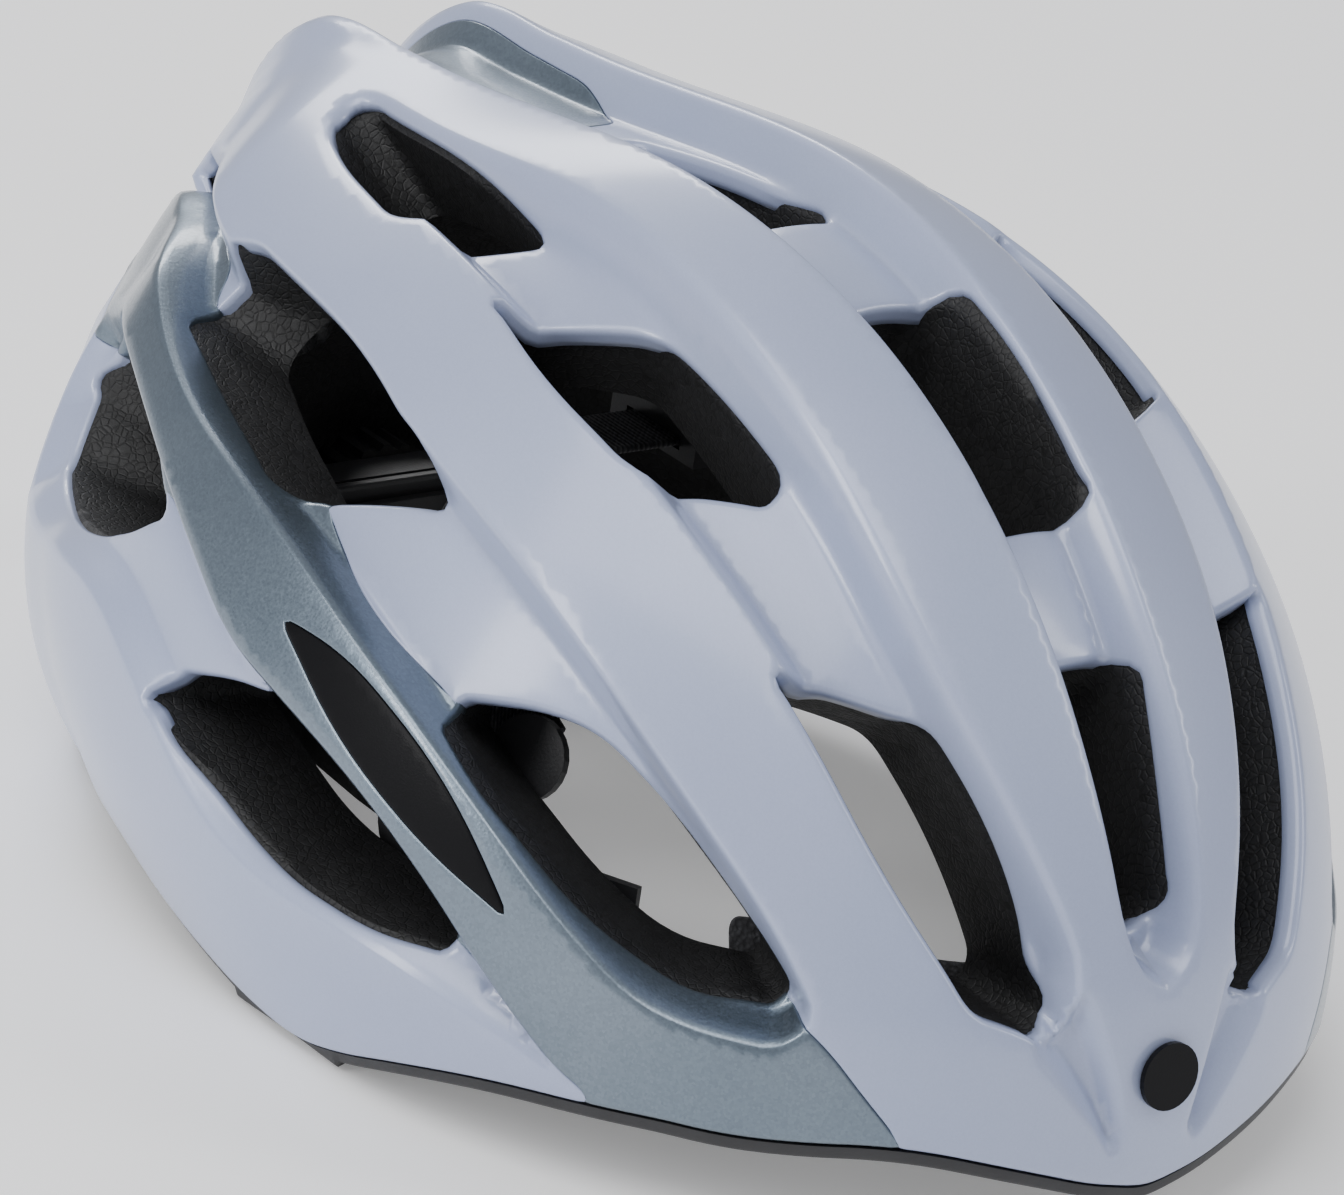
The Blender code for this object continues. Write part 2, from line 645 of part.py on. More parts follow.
def build_headband(side, name, parts, cutters, mats):
    """Front headband arm, cradle arm and the anchor whose pin carries both."""
    width = CAVITY_HALF_WIDTH - HEADBAND_INSET
    length = CAVITY_HALF_LENGTH - HEADBAND_INSET
    front = [Vector((PIVOT[0] + 3, PIVOT[1] + s, PIVOT[2])) for s in (9, 0, -9)]
    front += [Vector((width * math.sqrt(1 - (y / length)**2), y, PIVOT[2])) for y in (-42, -54, -66)]
    arm = upright_strip("headband_arm_" + name, to_side(front, side), ARM_HEIGHT, ARM_THICKNESS,
                        mats["nylon_black"], parts)
    combine(arm, pin_hole(side, cutters), 'DIFFERENCE', cutters)

    sweep = [cradle_curve(math.radians(a)) for a in (0, 8, 18, 30, 42, 54, 64, 72, 78)]
    sweep.insert(0, sweep[0] - Vector((0, 9, 0)))
    arm = upright_strip("cradle_arm_" + name, to_side(sweep, side), ARM_HEIGHT, ARM_THICKNESS,
                        mats["nylon_black"], parts)
    combine(arm, pin_hole(side, cutters), 'DIFFERENCE', cutters)

    plate, shank, head = 1.7, 7.7, 9.4
    profile = [(0, head), (4.6, head), (4.6, shank), (PIN_RADIUS, shank), (PIN_RADIUS, plate),
               (8, plate), (8, 0), (0, 0)]
    anchor = turned("temple_anchor_" + name, profile, mats["nylon_black"], parts, 24)
    anchor.rotation_euler = (0, -side * math.pi / 2, 0)
    anchor.location = Vector((side * (PIVOT[0] + 6.6), PIVOT[1], PIVOT[2])) * MM


def build_cradle(parts, mats):
    half = [cradle_curve(math.radians(a), PLATE_INSET) for a in (66, 73, 79, 85)]
    middle = cradle_curve(math.pi / 2, PLATE_INSET)
    points = half + [middle] + to_side(half, -1)[::-1]
    upright_strip("cradle_plate", points, PLATE_HEIGHT, 2.0, mats["nylon_black"], parts)
    for side, name in SIDES:
        low = (side * 15 - 9, 72.5, PIVOT[2] - 9)
        high = (side * 15 + 9, 77.0, PIVOT[2] + 9)
        box("occipital_pad_" + name, low, high, mats["pad_fabric"], parts, 1.5)


def gear_points(teeth, root, tip, turn=0.0, root_share=0.3, tip_share=0.12):
    """Corner points of a toothed outline; the first tooth points along the turn."""
    step = 2 * math.pi / teeth
    points = []
    for k in range(teeth):
        middle = k * step + turn
        for share, radius in ((-root_share, root), (-tip_share, tip), (tip_share, tip), (root_share, root)):
            angle = middle + share * step
            points.append((radius * math.cos(angle), radius * math.sin(angle)))
    return points


def flat_outline(name, loops, thickness, material, collection):
    """Filled flat outline, with any further loops as holes, centred on its own XY plane."""
    curve = bpy.data.curves.new(name, 'CURVE')
    curve.dimensions = '2D'
    curve.fill_mode = 'BOTH'
    curve.extrude = thickness * MM / 2
    for loop in loops:
        spline = curve.splines.new('POLY')
        spline.points.add(len(loop) - 1)
        for point, (x, y) in zip(spline.points, loop):
            point.co = (x * MM, y * MM, 0, 1)
        spline.use_cyclic_u = True
    curve.materials.append(material)
    thing = bpy.data.objects.new(name, curve)
    collection.objects.link(thing)
    return thing


def as_mesh(thing):
    """Replace a curve object by its mesh, with the caps welded."""
    bpy.context.view_layer.update()
    evaluated = thing.evaluated_get(bpy.context.evaluated_depsgraph_get())
    data = bpy.data.meshes.new_from_object(evaluated)
    weld = bmesh.new()
    weld.from_mesh(data)
    bmesh.ops.remove_doubles(weld, verts=weld.verts, dist=0.00001)
    weld.to_mesh(data)
    weld.free()
    name = thing.name
    matrix = thing.matrix_world.copy()
    collection = thing.users_collection[0]
    bpy.data.objects.remove(thing, do_unlink=True)
    solid = bpy.data.objects.new(name, data)
    solid.matrix_world = matrix
    collection.objects.link(solid)
    return solid


def build_rack(side, name, parts, mats):
    """Toothed bar: the left one runs under the pinion, the right one over it."""
    inner, outer = RACK_ENDS
    tip = -PINION_PITCH_RADIUS + 0.6
    root = -PINION_PITCH_RADIUS - 1.0
    points = [(inner, root - RACK_BAR), (outer, root - RACK_BAR), (outer, root)]
    for k in reversed(range(RACK_TEETH)):
        middle = inner + TOOTH_PITCH * (k + 0.5)
        points += [(middle + 0.65, root), (middle + 0.25, tip), (middle - 0.25, tip), (middle - 0.65, root)]
    points.append((inner, root))
    if side < 0:
        points = [(-x, -y) for x, y in points]
    rack = flat_outline("rack_" + name, [points], RACK_BACK - RACK_FRONT, mats["nylon_black"], parts)
    rack.rotation_euler = (math.pi / 2, 0, 0)
    rack.location = Vector((0, (RACK_FRONT + RACK_BACK) / 2, PIVOT[2])) * MM


def build_dial(parts, cutters, mats):
    nylon = mats["nylon_black"]
    length, height, centre = HOUSING_HALF_LENGTH, HOUSING_HALF_HEIGHT, PIVOT[2]
    box("dial_housing_front", (-length, HOUSING_FRONT, centre - height),
        (length, HOUSING_JOINT - CLEARANCE, centre + height), nylon, parts, 0.8)
    back = box("dial_housing_back", (-length, HOUSING_JOINT, centre - height),
               (length, HOUSING_BACK, centre + height), nylon, parts)
    slot = box("rack_slot", (-length - 5, HOUSING_JOINT - 5, centre - 9),
               (length + 5, RACK_BACK + 0.4, centre + 9), None, cutters)
    combine(back, slot, 'DIFFERENCE', cutters)
    for hole_name, radius, depth in (("pinion_pocket", 4.6, 90.6), ("shaft_hole", SHAFT_RADIUS + 0.3, 99)):
        hole = cylinder(hole_name, radius, 2 * (depth - HOUSING_JOINT), None, cutters)
        hole.rotation_euler = (math.pi / 2, 0, 0)
        hole.location = Vector((0, HOUSING_JOINT, centre)) * MM
        combine(back, hole, 'DIFFERENCE', cutters)

    teeth = gear_points(PINION_TEETH, PINION_PITCH_RADIUS - 0.9, PINION_PITCH_RADIUS + 0.75, math.pi / 2)
    pinion = flat_outline("pinion", [teeth], 3.8, nylon, parts)
    pinion.rotation_euler = (math.pi / 2, 0, 0)
    pinion.location = Vector((0, RACK_FRONT + 1.9, centre)) * MM
    pinion = as_mesh(pinion)
    shaft = cylinder("pinion_shaft", SHAFT_RADIUS, 14.0, None, cutters, 16)
    shaft.rotation_euler = (math.pi / 2, 0, 0)
    shaft.location = Vector((0, RACK_FRONT + 1 + 7.0, centre)) * MM
    combine(pinion, shaft, 'UNION', cutters)

    ridges = gear_points(DIAL_RIDGES, DIAL_RADIUS - 1.2, DIAL_RADIUS, 0, 0.36, 0.16)
    bore = gear_points(6, SHAFT_RADIUS + CLEARANCE, SHAFT_RADIUS + CLEARANCE)
    dial = flat_outline("dial", [ridges, bore], DIAL_BACK - DIAL_FRONT, mats["rubber_black"], parts)
    dial.rotation_euler = (math.pi / 2, 0, 0)
    dial.location = Vector((0, (DIAL_FRONT + DIAL_BACK) / 2, centre)) * MM
    for side, name in SIDES:
        build_rack(side, name, parts, mats)


# ---------------------------------------------------------------- straps, dividers and buckle

def strap_direction():
    """Unit vector up the left chin strap, from its divider to the corner at the top."""
    return (Vector((STRAP_CORNER, 0, STRAP_TOP)) - Vector(DIVIDER_AT)).normalized()


def wall_point(rearwards, height):
    """Point on the upper cavity wall on the left, and the wall's outward normal."""
    along = rearwards / CAVITY_HALF_LENGTH
    up = (height - CAVITY_WAIST - CAVITY_RISE * along) / CAVITY_CROWN
    across = math.sqrt(1 - along**2 - up**2)
    normal = Vector((across / CAVITY_HALF_WIDTH, along / CAVITY_HALF_LENGTH, up / CAVITY_CROWN))
    return Vector((across * CAVITY_HALF_WIDTH, rearwards, height)), normal.normalized()


def build_straps(side, name, parts, cutters, mats):
    width, thickness = WEBBING
    up = strap_direction()
    low = Vector(DIVIDER_AT) - up * 12
    chin = [low, Vector(DIVIDER_AT), Vector((STRAP_CORNER, 0, STRAP_TOP)) - up * 6,
            Vector((STRAP_CORNER - 1, 0, STRAP_TOP - 1.4)), Vector((STRAP_CORNER - 6, 0, STRAP_TOP)),
            Vector((28.6 if side > 0 else 2.0, 0, STRAP_TOP))]
    normals = []
    for i in range(len(chin)):
        ahead = chin[min(i + 1, len(chin) - 1)] - chin[max(i - 1, 0)]
        normals.append(Vector((ahead.z * side, 0, -ahead.x)))
    ribbon("chin_strap_" + name, to_side(chin, side), normals, width, thickness, mats["webbing_black"], parts)

    for where, (rearwards, height) in ANCHORS.items():
        wall, normal = wall_point(rearwards, height)
        towards = math.copysign(1, rearwards)
        start = Vector(DIVIDER_AT) - up * 2 + Vector((0, towards * (DIVIDER_SIZE[0] / 2 + 3.6), 0))
        finish_at = wall - normal * 6.4
        face = normal + Vector((0.6, 0, 0))
        path = [start.lerp(finish_at, t) for t in (0, 0.5, 1)]
        ribbon(f"{where}_strap_{name}", to_side(path, side), to_side([face] * 3, side), width, thickness,
               mats["webbing_black"], parts)
        plug = cylinder(f"{where}_anchor_{name}", PLUG_RADIUS, 1.8, mats["nylon_black"], parts)
        place = to_side([wall - normal * 2.5], side)[0]
        facing = to_side([normal], side)[0]
        plug.location = place * MM
        plug.rotation_mode = 'QUATERNION'
        plug.rotation_quaternion = facing.to_track_quat('Z', 'Y')

    across, along, thick = DIVIDER_SIZE
    tilt = math.atan2(up.x, up.z) * side
    divider = box("strap_divider_" + name, (-thick / 2, -across / 2, -along / 2),
                  (thick / 2, across / 2, along / 2), mats["nylon_black"], parts)
    slot = box("divider_slot", (-thickness / 2 - 0.45, -width / 2 - 0.45, -along),
               (thickness / 2 + 0.45, width / 2 + 0.45, along), None, cutters)
    for piece in (divider, slot):
        piece.rotation_euler = (0, tilt, 0)
        piece.location = to_side([Vector(DIVIDER_AT)], side)[0] * MM
    combine(divider, slot, 'DIFFERENCE', cutters)


def build_buckle(parts, cutters, mats):
    nylon = mats["nylon_black"]
    plane, half, top = BUCKLE_PLANE, BUCKLE_HALF_WIDTH, STRAP_TOP
    female = box("buckle_female", (plane + CLEARANCE, -half, top - 3.0), (28.2, half, top + 6.5), nylon,
                 parts)
    pocket = box("buckle_pocket", (plane - 5, -half + 2.1, top + 1.2), (22.5, half - 2.1, top + 4.9), None,
                 cutters)
    combine(female, pocket, 'DIFFERENCE', cutters)
    windows = box("release_windows", (plane + 7.5, -half - 5, top + 1.2), (19.0, half + 5, top + 4.9), None,
                  cutters)
    combine(female, windows, 'DIFFERENCE', cutters)

    male = box("buckle_male", (plane - 22, -half, top + 1.5), (plane, half, top + 4.6), nylon, parts)
    for y in (-8.6, 0, 8.6):
        prong = box("prong", (plane - 2, y - 1.5, top + 1.5), (plane + 13.5, y + 1.5, top + 4.6), None,
                    cutters)
        combine(male, prong, 'UNION', cutters)
    loop = box("ladder_loop", (plane - 22, -half, top - 3.0), (plane - 15, half, top + 1.8), None, cutters)
    combine(male, loop, 'UNION', cutters)
    width, thickness = WEBBING
    way = box("webbing_way", (plane - 30, -width / 2 - 0.5, top - thickness / 2 - 0.45),
              (plane - 10, width / 2 + 0.5, top + thickness / 2 + 0.45), None, cutters)
    combine(male, way, 'DIFFERENCE', cutters)

    keeper = box("strap_keeper", (KEEPER_AT, -10, top - 2.6), (KEEPER_AT + 3.4, 10, top + 2.6),
                 mats["rubber_black"], parts)
    way = box("keeper_way", (KEEPER_AT - 5, -width / 2 - 0.4, top - thickness / 2 - 0.4),
              (KEEPER_AT + 9, width / 2 + 0.4, top + thickness / 2 + 0.4), None, cutters)
    combine(keeper, way, 'DIFFERENCE', cutters)


def build_badge(parts, mats):
    place = np.array([BADGE_AT])
    point = Vector(shell_surface(place)[0])
    normal = Vector(dome_normal(place)[0])
    badge = cylinder("front_badge", BADGE_RADIUS, 1.0, mats["insert_black"], parts, 32)
    badge.location = (point + normal * 1.0) * MM
    badge.rotation_mode = 'QUATERNION'
    badge.rotation_quaternion = normal.to_track_quat('Z', 'Y')


def build_all():
    clear_scene()
    parts = new_collection("cycling_helmet")
    cutters = new_collection("cutters")
    mats = make_materials()
    build_shell(parts, mats)
    build_rim_trim(parts, mats)
    build_badge(parts, mats)
    pad_on_cavity("brow_pad", BROW_PAD, True, parts, mats["pad_fabric"])
    for name, outline in (("crown_pad", CROWN_PAD), ("side_pad", SIDE_PAD)):
        pad = pad_on_cavity(name + "_left", outline, False, parts, mats["pad_fabric"])
        mirrored_copy(pad, name + "_right", parts)
    for side, name in SIDES:
        build_headband(side, name, parts, cutters, mats)
        build_straps(side, name, parts, cutters, mats)
    build_cradle(parts, mats)
    build_dial(parts, cutters, mats)
    build_buckle(parts, cutters, mats)


build_all()
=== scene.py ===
"""Looks of the road cycling helmet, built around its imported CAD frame.

Shapes are worked out in millimetres, over a chart of degrees from the crown (sideways, rearwards), and
written in metres. +Z up, front towards -Y, wearer's left at +X.
"""
import math

import bpy
import numpy as np
from mathutils import Matrix, Vector, noise
from mathutils.geometry import delaunay_2d_cdt
from mathutils.kdtree import KDTree


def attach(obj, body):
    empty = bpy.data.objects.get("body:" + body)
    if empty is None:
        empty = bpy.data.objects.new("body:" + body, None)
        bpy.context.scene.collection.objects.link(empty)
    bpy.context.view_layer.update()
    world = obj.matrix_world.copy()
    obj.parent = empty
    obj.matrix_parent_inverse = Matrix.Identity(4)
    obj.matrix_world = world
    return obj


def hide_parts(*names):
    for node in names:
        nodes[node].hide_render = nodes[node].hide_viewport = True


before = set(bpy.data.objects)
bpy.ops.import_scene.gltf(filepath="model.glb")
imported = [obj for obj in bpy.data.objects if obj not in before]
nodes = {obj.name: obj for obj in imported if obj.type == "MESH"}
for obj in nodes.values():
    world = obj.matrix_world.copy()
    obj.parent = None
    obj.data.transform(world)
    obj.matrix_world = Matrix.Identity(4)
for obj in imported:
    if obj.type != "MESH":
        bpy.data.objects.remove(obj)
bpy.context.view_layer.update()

MM = 0.001
SIDES = ((1, "left"), (-1, "right"))

# -------------------- driving dimensions of the frame

# Dome, in millimetres
HALF_WIDTH = 104.5
HALF_LENGTH = 141.5
WAIST_HEIGHT = 40.8  # height of the widest line at mid-length
WAIST_RISE = 21.5  # how far that line rises from mid-length to the back
SQUARENESS = 0.03  # how much the section is flattened between side and crown
CROWN_HEIGHTS = (119, 115, 112, 104, 100, 124, 122)  # above the waist, every 30 degrees front to back
NAPE_BULGE = 5.0  # how far the lower rear corners stand out
NAPE_BULGE_AT = (78, 82)  # degrees, as is its reach
NAPE_BULGE_REACH = 34

# Head cavity, in millimetres
CAVITY_HALF_WIDTH = 79
CAVITY_HALF_LENGTH = 110
CAVITY_WAIST = 40.5
CAVITY_RISE = 18
CAVITY_CROWN = 80
CAVITY_DROP = 90  # how fast the wall's lower edge falls below the waist

# Rim trim
TRIM_INSET = 0.8  # below the shell's outer face
TRIM_OVERLAP = 4.0  # reach outside the cavity wall's lower edge
TRIM_HEIGHT = 3.2
LAND_BELOW = 1.2  # the rim's lower face is flat, on the ground, where it comes this low
TRIM_LEAST_HEIGHTS = (1.6, 1.5)  # elsewhere: of the bead's sides, and of its lower face
TRIM_OUTSIDE = ((0, 0.5), (0, 2.2), (0.25, 2.8), (0.9, TRIM_HEIGHT))  # inwards, down from the edge
TRIM_INSIDE = ((-0.9, TRIM_HEIGHT), (-0.2, 2.7), (0, 2.0), (0, 0.5))

# Webbing: its section, the corner where it turns under the crown, dividers and anchors
WEBBING_WIDTH, WEBBING_THICKNESS = 15.0, 1.4
STRAP_TOP = 94.0
STRAP_CORNER = 44.0
STRAP_ENDS = (28.6, 2.0)  # sideways place of each chin strap's end, left at the buckle
DIVIDER_AT = (59.0, 0.0, 68.0)
DIVIDER_LENGTH = 23.0
ANCHORS = {"front": (-44.0, 58.0), "rear": (48.0, 58.0)}  # rearwards, height
ANCHOR_INSET = 6.4  # inside the cavity wall
BEND_CUT = 4.0  # how far a strap's corner is cut back
STRAP_TAIL = 12.0  # a chin strap's end below its divider's middle
STRAP_TURN = 6.0  # either side of its corner at the top

# Pads: welded flange and filled middle, in millimetres; pitch, flange and channels in outline units
PAD_GAP = 1.2  # between the cavity wall and the pads' ground
PAD_CLEARANCE = 0.3  # and between that ground and a pad's back
PAD_HEIGHT = 4.7
FLANGE_THICKNESS = 1.2
PAD_FLANGE = 1.6
PAD_PITCH = 0.8
CHANNEL_WIDTH = 0.8
CHANNEL_DEPTH = 0.75  # share of the filling that a channel presses out
PUFF_MOST = 0.9
PUFF_FRAMES = 20
PUFF_PRESSURE = 4
OCCIPITAL_MIDDLE = 15.0
OCCIPITAL_BACK = 76.9
OCCIPITAL_BOW = 0.0035  # per millimetre from the pad's middle
OCCIPITAL_SHARE = 0.85  # of the other pads' height

# Skins and foam
CREASE = 50  # degrees over which an edge stays sharp
SHELL_THICKNESS = 1.5
FOAM_UNDER = 2.1  # foam's outer face below the shell's, millimetres
LIP_OFFSET = 0.62  # degrees that a vent's lip rolls over, into the vent
FOAM_LIP_OFFSET = 0.2  # the same for the foam's vents, and below for its lower edge
FOAM_RIM_OFFSET = 0.25
SEAM, VENT, EDGE = 0, 1, 2  # kinds of boundary
LIP_ROLLS = np.array([0.4, 1.5, 1.3])  # radius of each kind's rolled lip
LIP_DROPS = np.array([1.3, 2.4, 1.2])  # and its straight depth
LIP_TURNS = (22.5, 45, 67.5, 90)  # degrees
LIP_SMOOTHING = 3  # rounds of averaging along an edge for the directions of its lip
SEAM_GAP = 0.42
SHELL_PITCH = 1.05  # degrees between mesh points inside a skin
LINE_PITCH = 0.7  # and along its outlines
SLOPE_ROWS = (0, 0.12, 0.27, 0.5, 0.73, 0.88, 1)  # mesh rows down a rib's side, as shares of its width
ROW_ERROR = 0.04  # share by which a row may miss, where two parts of an outline come close
ROW_SPACING = 0.14  # least degrees between points of two rows
ROW_OFF_CENTRE = 0.25  # and from the centre line
VALLEY_PITCH = 2.0
FOAM_PITCH = 2.3
FOAM_ROWS = (0, 0.3, 0.7, 1)
FOAM_ROW_PITCH = FOAM_PITCH * 0.6
WALL_ROWS = 15
BEAD_SIZE = 1.5
BEAD_RELIEF = 0.16
BEAD_MIDDLE = 0.45  # distance from a bead's centre, in beads, where the wall has its mean depth
NORMAL_STEP = 0.05  # degrees over which a normal is measured
SKIN_NORMAL_STEP = 0.25  # and where it has to ignore small folds
CHART_FRONT, CHART_BACK, CHART_SIDE = -99, 122, 116  # what the chart's rows of points span
CENTRE_LINE = 130  # half length of the chart's centre line
ON_LINE = 1e-3  # degrees
BATCH = 4000  # places worked on at a time

# Outlines on the chart. Centred ones start and end on the centre line, and are closed by their mirror image
RIM = [(0, -94.5), (10, -93), (24, -88.5), (39, -82), (51, -77), (60, -72), (74, -61), (84, -51),
       (93.5, -41), (102, -31), (107.5, -22), (110, -10), (110, 3), (109, 14), (106.5, 25),
       (104.5, 38), (103, 52), (98, 68), (86, 84), (68, 98), (45, 108), (20, 114), (0, 115)]

CENTRE_VENTS = {
    "front": [(0, -73), (4.5, -71), (5.5, -50.5), (0, -50.5)],
    "middle": [(0, -39.5), (6.5, -39.5), (7, -17.5), (0, -17)],
    "rear": [(0, -5), (6.5, -5), (5, 8), (2.5, 15.5), (0, 16)],
}
SIDE_VENTS = {
    "inner_rear": [(25, 31), (18.5, 32), (20, 17), (22.5, 4), (26.5, 7), (31.5, 14), (28, 25)],
    "inner_middle": [(34, -1), (31, -4), (23.5, -11), (23.5, -28.5), (26.5, -29.5), (36.5, -22), (37, -11)],
    "inner_front": [(36, -41), (27.5, -47), (22.5, -50.5), (19.5, -61), (16, -76), (18.5, -78.5),
                    (28, -73.5), (34, -60)],
    "outer_rear": [(50.5, 31), (47.5, 32), (41.5, 30), (40, 26), (45, 5), (50.5, -9), (52.5, -10),
                   (60.5, 2), (61, 7), (56.5, 20)],
    "outer_front": [(66, -24.5), (64, -23.5), (57, -31), (53.5, -36.5), (51, -50.5), (47.5, -64.5),
                    (50, -65), (60, -58), (65, -46.5), (66.5, -32)],
    "lower_front": [(87.5, 12), (84, 10), (79.5, -1), (77.5, -9), (77.5, -25.5), (78, -37.5),
                    (81, -38.5), (86.5, -29.5), (90.5, -18), (91.5, -9), (90, 2)],
    "lower_rear": [(70.5, 19.5), (61, 30.5), (53, 45.5), (50, 58), (53, 67), (64, 64), (73, 52),
                   (76, 38), (75.5, 28.5)],
    "band_tip": [(27.3, 57), (30.5, 58), (31.5, 61.5), (29.8, 64), (27, 63)],
    "exhaust": [(6, 72), (18, 69), (30, 66.5), (36, 72), (29, 81), (14, 84), (6, 83.5)],
}
BAND = [(46, 67), (41, 66.5), (35.5, 64), (32.5, 61), (31.2, 57), (32.5, 52), (36, 45.5), (40, 39),
        (42.5, 34), (47, 33), (51.5, 26), (57, 11), (58, 4),
        (62.5, -3), (65, -12), (65, -22), (63.5, -31), (62, -46), (57, -57), (50, -62.5), (45, -70),
        (42, -76), (38.5, -81.5), (36, -92), (62, -88), (84, -70), (73, -60.5), (75.5, -55),
        (78.5, -45), (80, -36), (80.5, -28), (80, -10), (76, 1), (70, 13.5), (67, 27), (57, 45),
        (53.5, 57), (50, 65)]
INSERT = [(70.5, -5), (68.5, -14), (68.5, -30), (71, -43), (74.5, -32), (75, -18)]
REAR_PANEL = [(0, 20.5), (6, 21.5), (8, 27), (8.5, 45), (8.5, 64), (10, 75), (9, 80), (4, 89), (0, 89)]

# Valleys between the ribs: outline points with the width of the sloping side there, all in degrees;
# then whether each is centred, and its depth in millimetres
CENTRE_VALLEY = [(0, -77.5, 2.6), (4.5, -75.5, 2.6), (6.5, -71, 2.4), (7, -60, 2.4), (7, -48, 2.6),
                 (7.5, -29, 2.8), (9, -10, 3), (9.5, 5, 3), (10, 66, 3), (0, 72, 3)]
REAR_DECK = [(0, 66, 3), (22, 65, 3), (31, 62, 3), (38, 64, 3), (43, 69, 3), (40, 80, 3.5), (30, 86, 4),
             (14, 89, 4), (0, 89, 4)]
INNER_VALLEY = [(24, 33, 3), (18, 33, 4), (17, 30, 4.6), (18.5, 15, 5), (17.5, 0, 5), (18.5, -15, 5),
                (19.5, -45, 5), (17, -58, 4.6), (12, -73, 3.6), (15, -80.5, 3), (22, -76.5, 2.2),
                (28.5, -69.5, 2.2), (32.2, -60.5, 2.2), (34.6, -42, 2.2), (36, -25, 2.2), (35.4, -12, 2.2),
                (33, 0, 2.4), (30, 12, 2.4), (26, 25, 2.6)]
NOSE_CREASE = [(12, -74, 3.4), (8, -82, 3.4), (5, -90, 3.2), (8.5, -91, 3.2), (17, -83, 3.4),
               (22, -78, 3.4)]
OUTER_VALLEY = [(27, 57, 3), (29, 50, 3), (33.5, 43, 3), (38.5, 36, 3), (42, 28, 3), (44, 18, 3),
                (47, 0, 3), (49.5, -12, 3), (50, -30, 3), (48.8, -45, 3), (45.6, -60, 3), (44.4, -68, 3),
                (50.5, -68.2, 2.4), (58.5, -62.3, 2.4), (63.8, -56, 2.4), (67, -45, 2.4), (68, -30, 2.4),
                (67.3, -14, 2.8), (65.6, -4, 3), (63.2, 7, 2.6), (59.6, 19, 2.6), (55, 28, 2.8),
                (49.5, 36, 4), (42.5, 44.5, 5), (38, 51, 5), (34.2, 57, 5), (32, 64.5, 4), (27, 64.5, 3)]
LOWER_VALLEY = [(47, 64, 3), (48.5, 56, 3), (51, 45, 2.6), (59, 30, 2.4), (68.5, 14, 2.4), (75.5, 0, 2.4),
                (76, -10, 2.4), (76, -30, 2.4), (76.5, -45, 2.6), (75, -55.5, 3), (73.5, -61, 3),
                (77, -54.5, 3.6), (82, -44.5, 4), (87, -32.5, 4), (92, -19.5, 4), (94, -10, 4), (93, 0, 4),
                (87, 13, 4), (81, 25, 4), (79, 40, 4), (76, 54, 4), (66, 68, 4), (54, 71, 4)]
VALLEYS = [(CENTRE_VALLEY, True, 9.0), (REAR_DECK, True, 11.0), (INNER_VALLEY, False, 9.0),
           (NOSE_CREASE, False, 4.0), (OUTER_VALLEY, False, 9.0), (LOWER_VALLEY, False, 5.5)]

# How far the rear deck stands up or down, by degrees sideways; the degrees it spans and eases over
REAR_TILT_AT = (0, 8, 11, 14, 18, 22, 26, 34, 46, 56, 66)
REAR_TILT = (0, 3, 3, 0, -2.5, -3.5, -4.5, -5, -5, -2, 0)
REAR_TILT_FROM, REAR_TILT_TO = 36, 78
REAR_TILT_EASE_IN, REAR_TILT_EASE_OUT = 14, 16
SHARP_TURN = math.radians(35)
CORNER = 2.4  # how far a sharp corner is cut back, degrees
CORNER_SHARE = 0.42  # at most this share of its shorter side


# -------------------- the dome and its relief

def cubic_through(places, values):
    """Cubic spline through the values, level at both ends, as a function of place."""
    count = len(places)
    step = np.diff(places)
    slope = np.diff(values) / step
    system = np.zeros((count, count))
    right = np.zeros(count)
    system[0, :2] = 2 * step[0], step[0]
    system[-1, -2:] = step[-1], 2 * step[-1]
    right[0] = 6 * slope[0]
    right[-1] = -6 * slope[-1]
    for i in range(1, count - 1):
        system[i, i - 1:i + 2] = step[i - 1], 2 * (step[i - 1] + step[i]), step[i]
        right[i] = 6 * (slope[i] - slope[i - 1])
    bend = np.linalg.solve(system, right)

    def curve(x):
        i = np.clip(np.searchsorted(places, x) - 1, 0, count - 2)
        t = x - places[i]
        first = slope[i] - step[i] * (2 * bend[i] + bend[i + 1]) / 6
        return values[i] + t * first + bend[i] * t**2 / 2 + (bend[i + 1] - bend[i]) * t**3 / (6 * step[i])

    return curve


crown_height = cubic_through(np.linspace(0, math.pi, len(CROWN_HEIGHTS)), np.array(CROWN_HEIGHTS, float))


def direction(uv):
    """Unit vectors for places given in degrees from the crown."""
    angle = np.radians(np.hypot(uv[:, 0], uv[:, 1])) + 1e-9
    spread = np.sin(angle) / angle
    return np.radians(uv[:, 0]) * spread, np.radians(uv[:, 1]) * spread, np.cos(angle)


def unit(vectors):
    """Unit vectors along the given rows, or nearly nothing where a row is nearly nothing."""
    return vectors / np.maximum(np.linalg.norm(vectors, axis=1, keepdims=True), 1e-9)


def dome(uv):
    """The smooth outside, without valleys."""
    dx, dy, dz = direction(uv)
    flatten = 1 - SQUARENESS * (2 * dx * dz / (dx * dx + dz * dz + 1e-9))**2
    rise = crown_height(np.arccos(np.clip(-dy, -1, 1)))
    waist = WAIST_HEIGHT + WAIST_RISE * dy
    return np.stack([HALF_WIDTH * dx * flatten, HALF_LENGTH * dy, waist + rise * dz * flatten], -1)


def normal_of(surface, uv, small=NORMAL_STEP):
    """Outward unit normals of a surface over the chart."""
    aside = np.array([small, 0.0])
    along = np.array([0.0, small])
    return unit(np.cross(surface(uv + aside) - surface(uv - aside),
                         surface(uv + along) - surface(uv - along)))


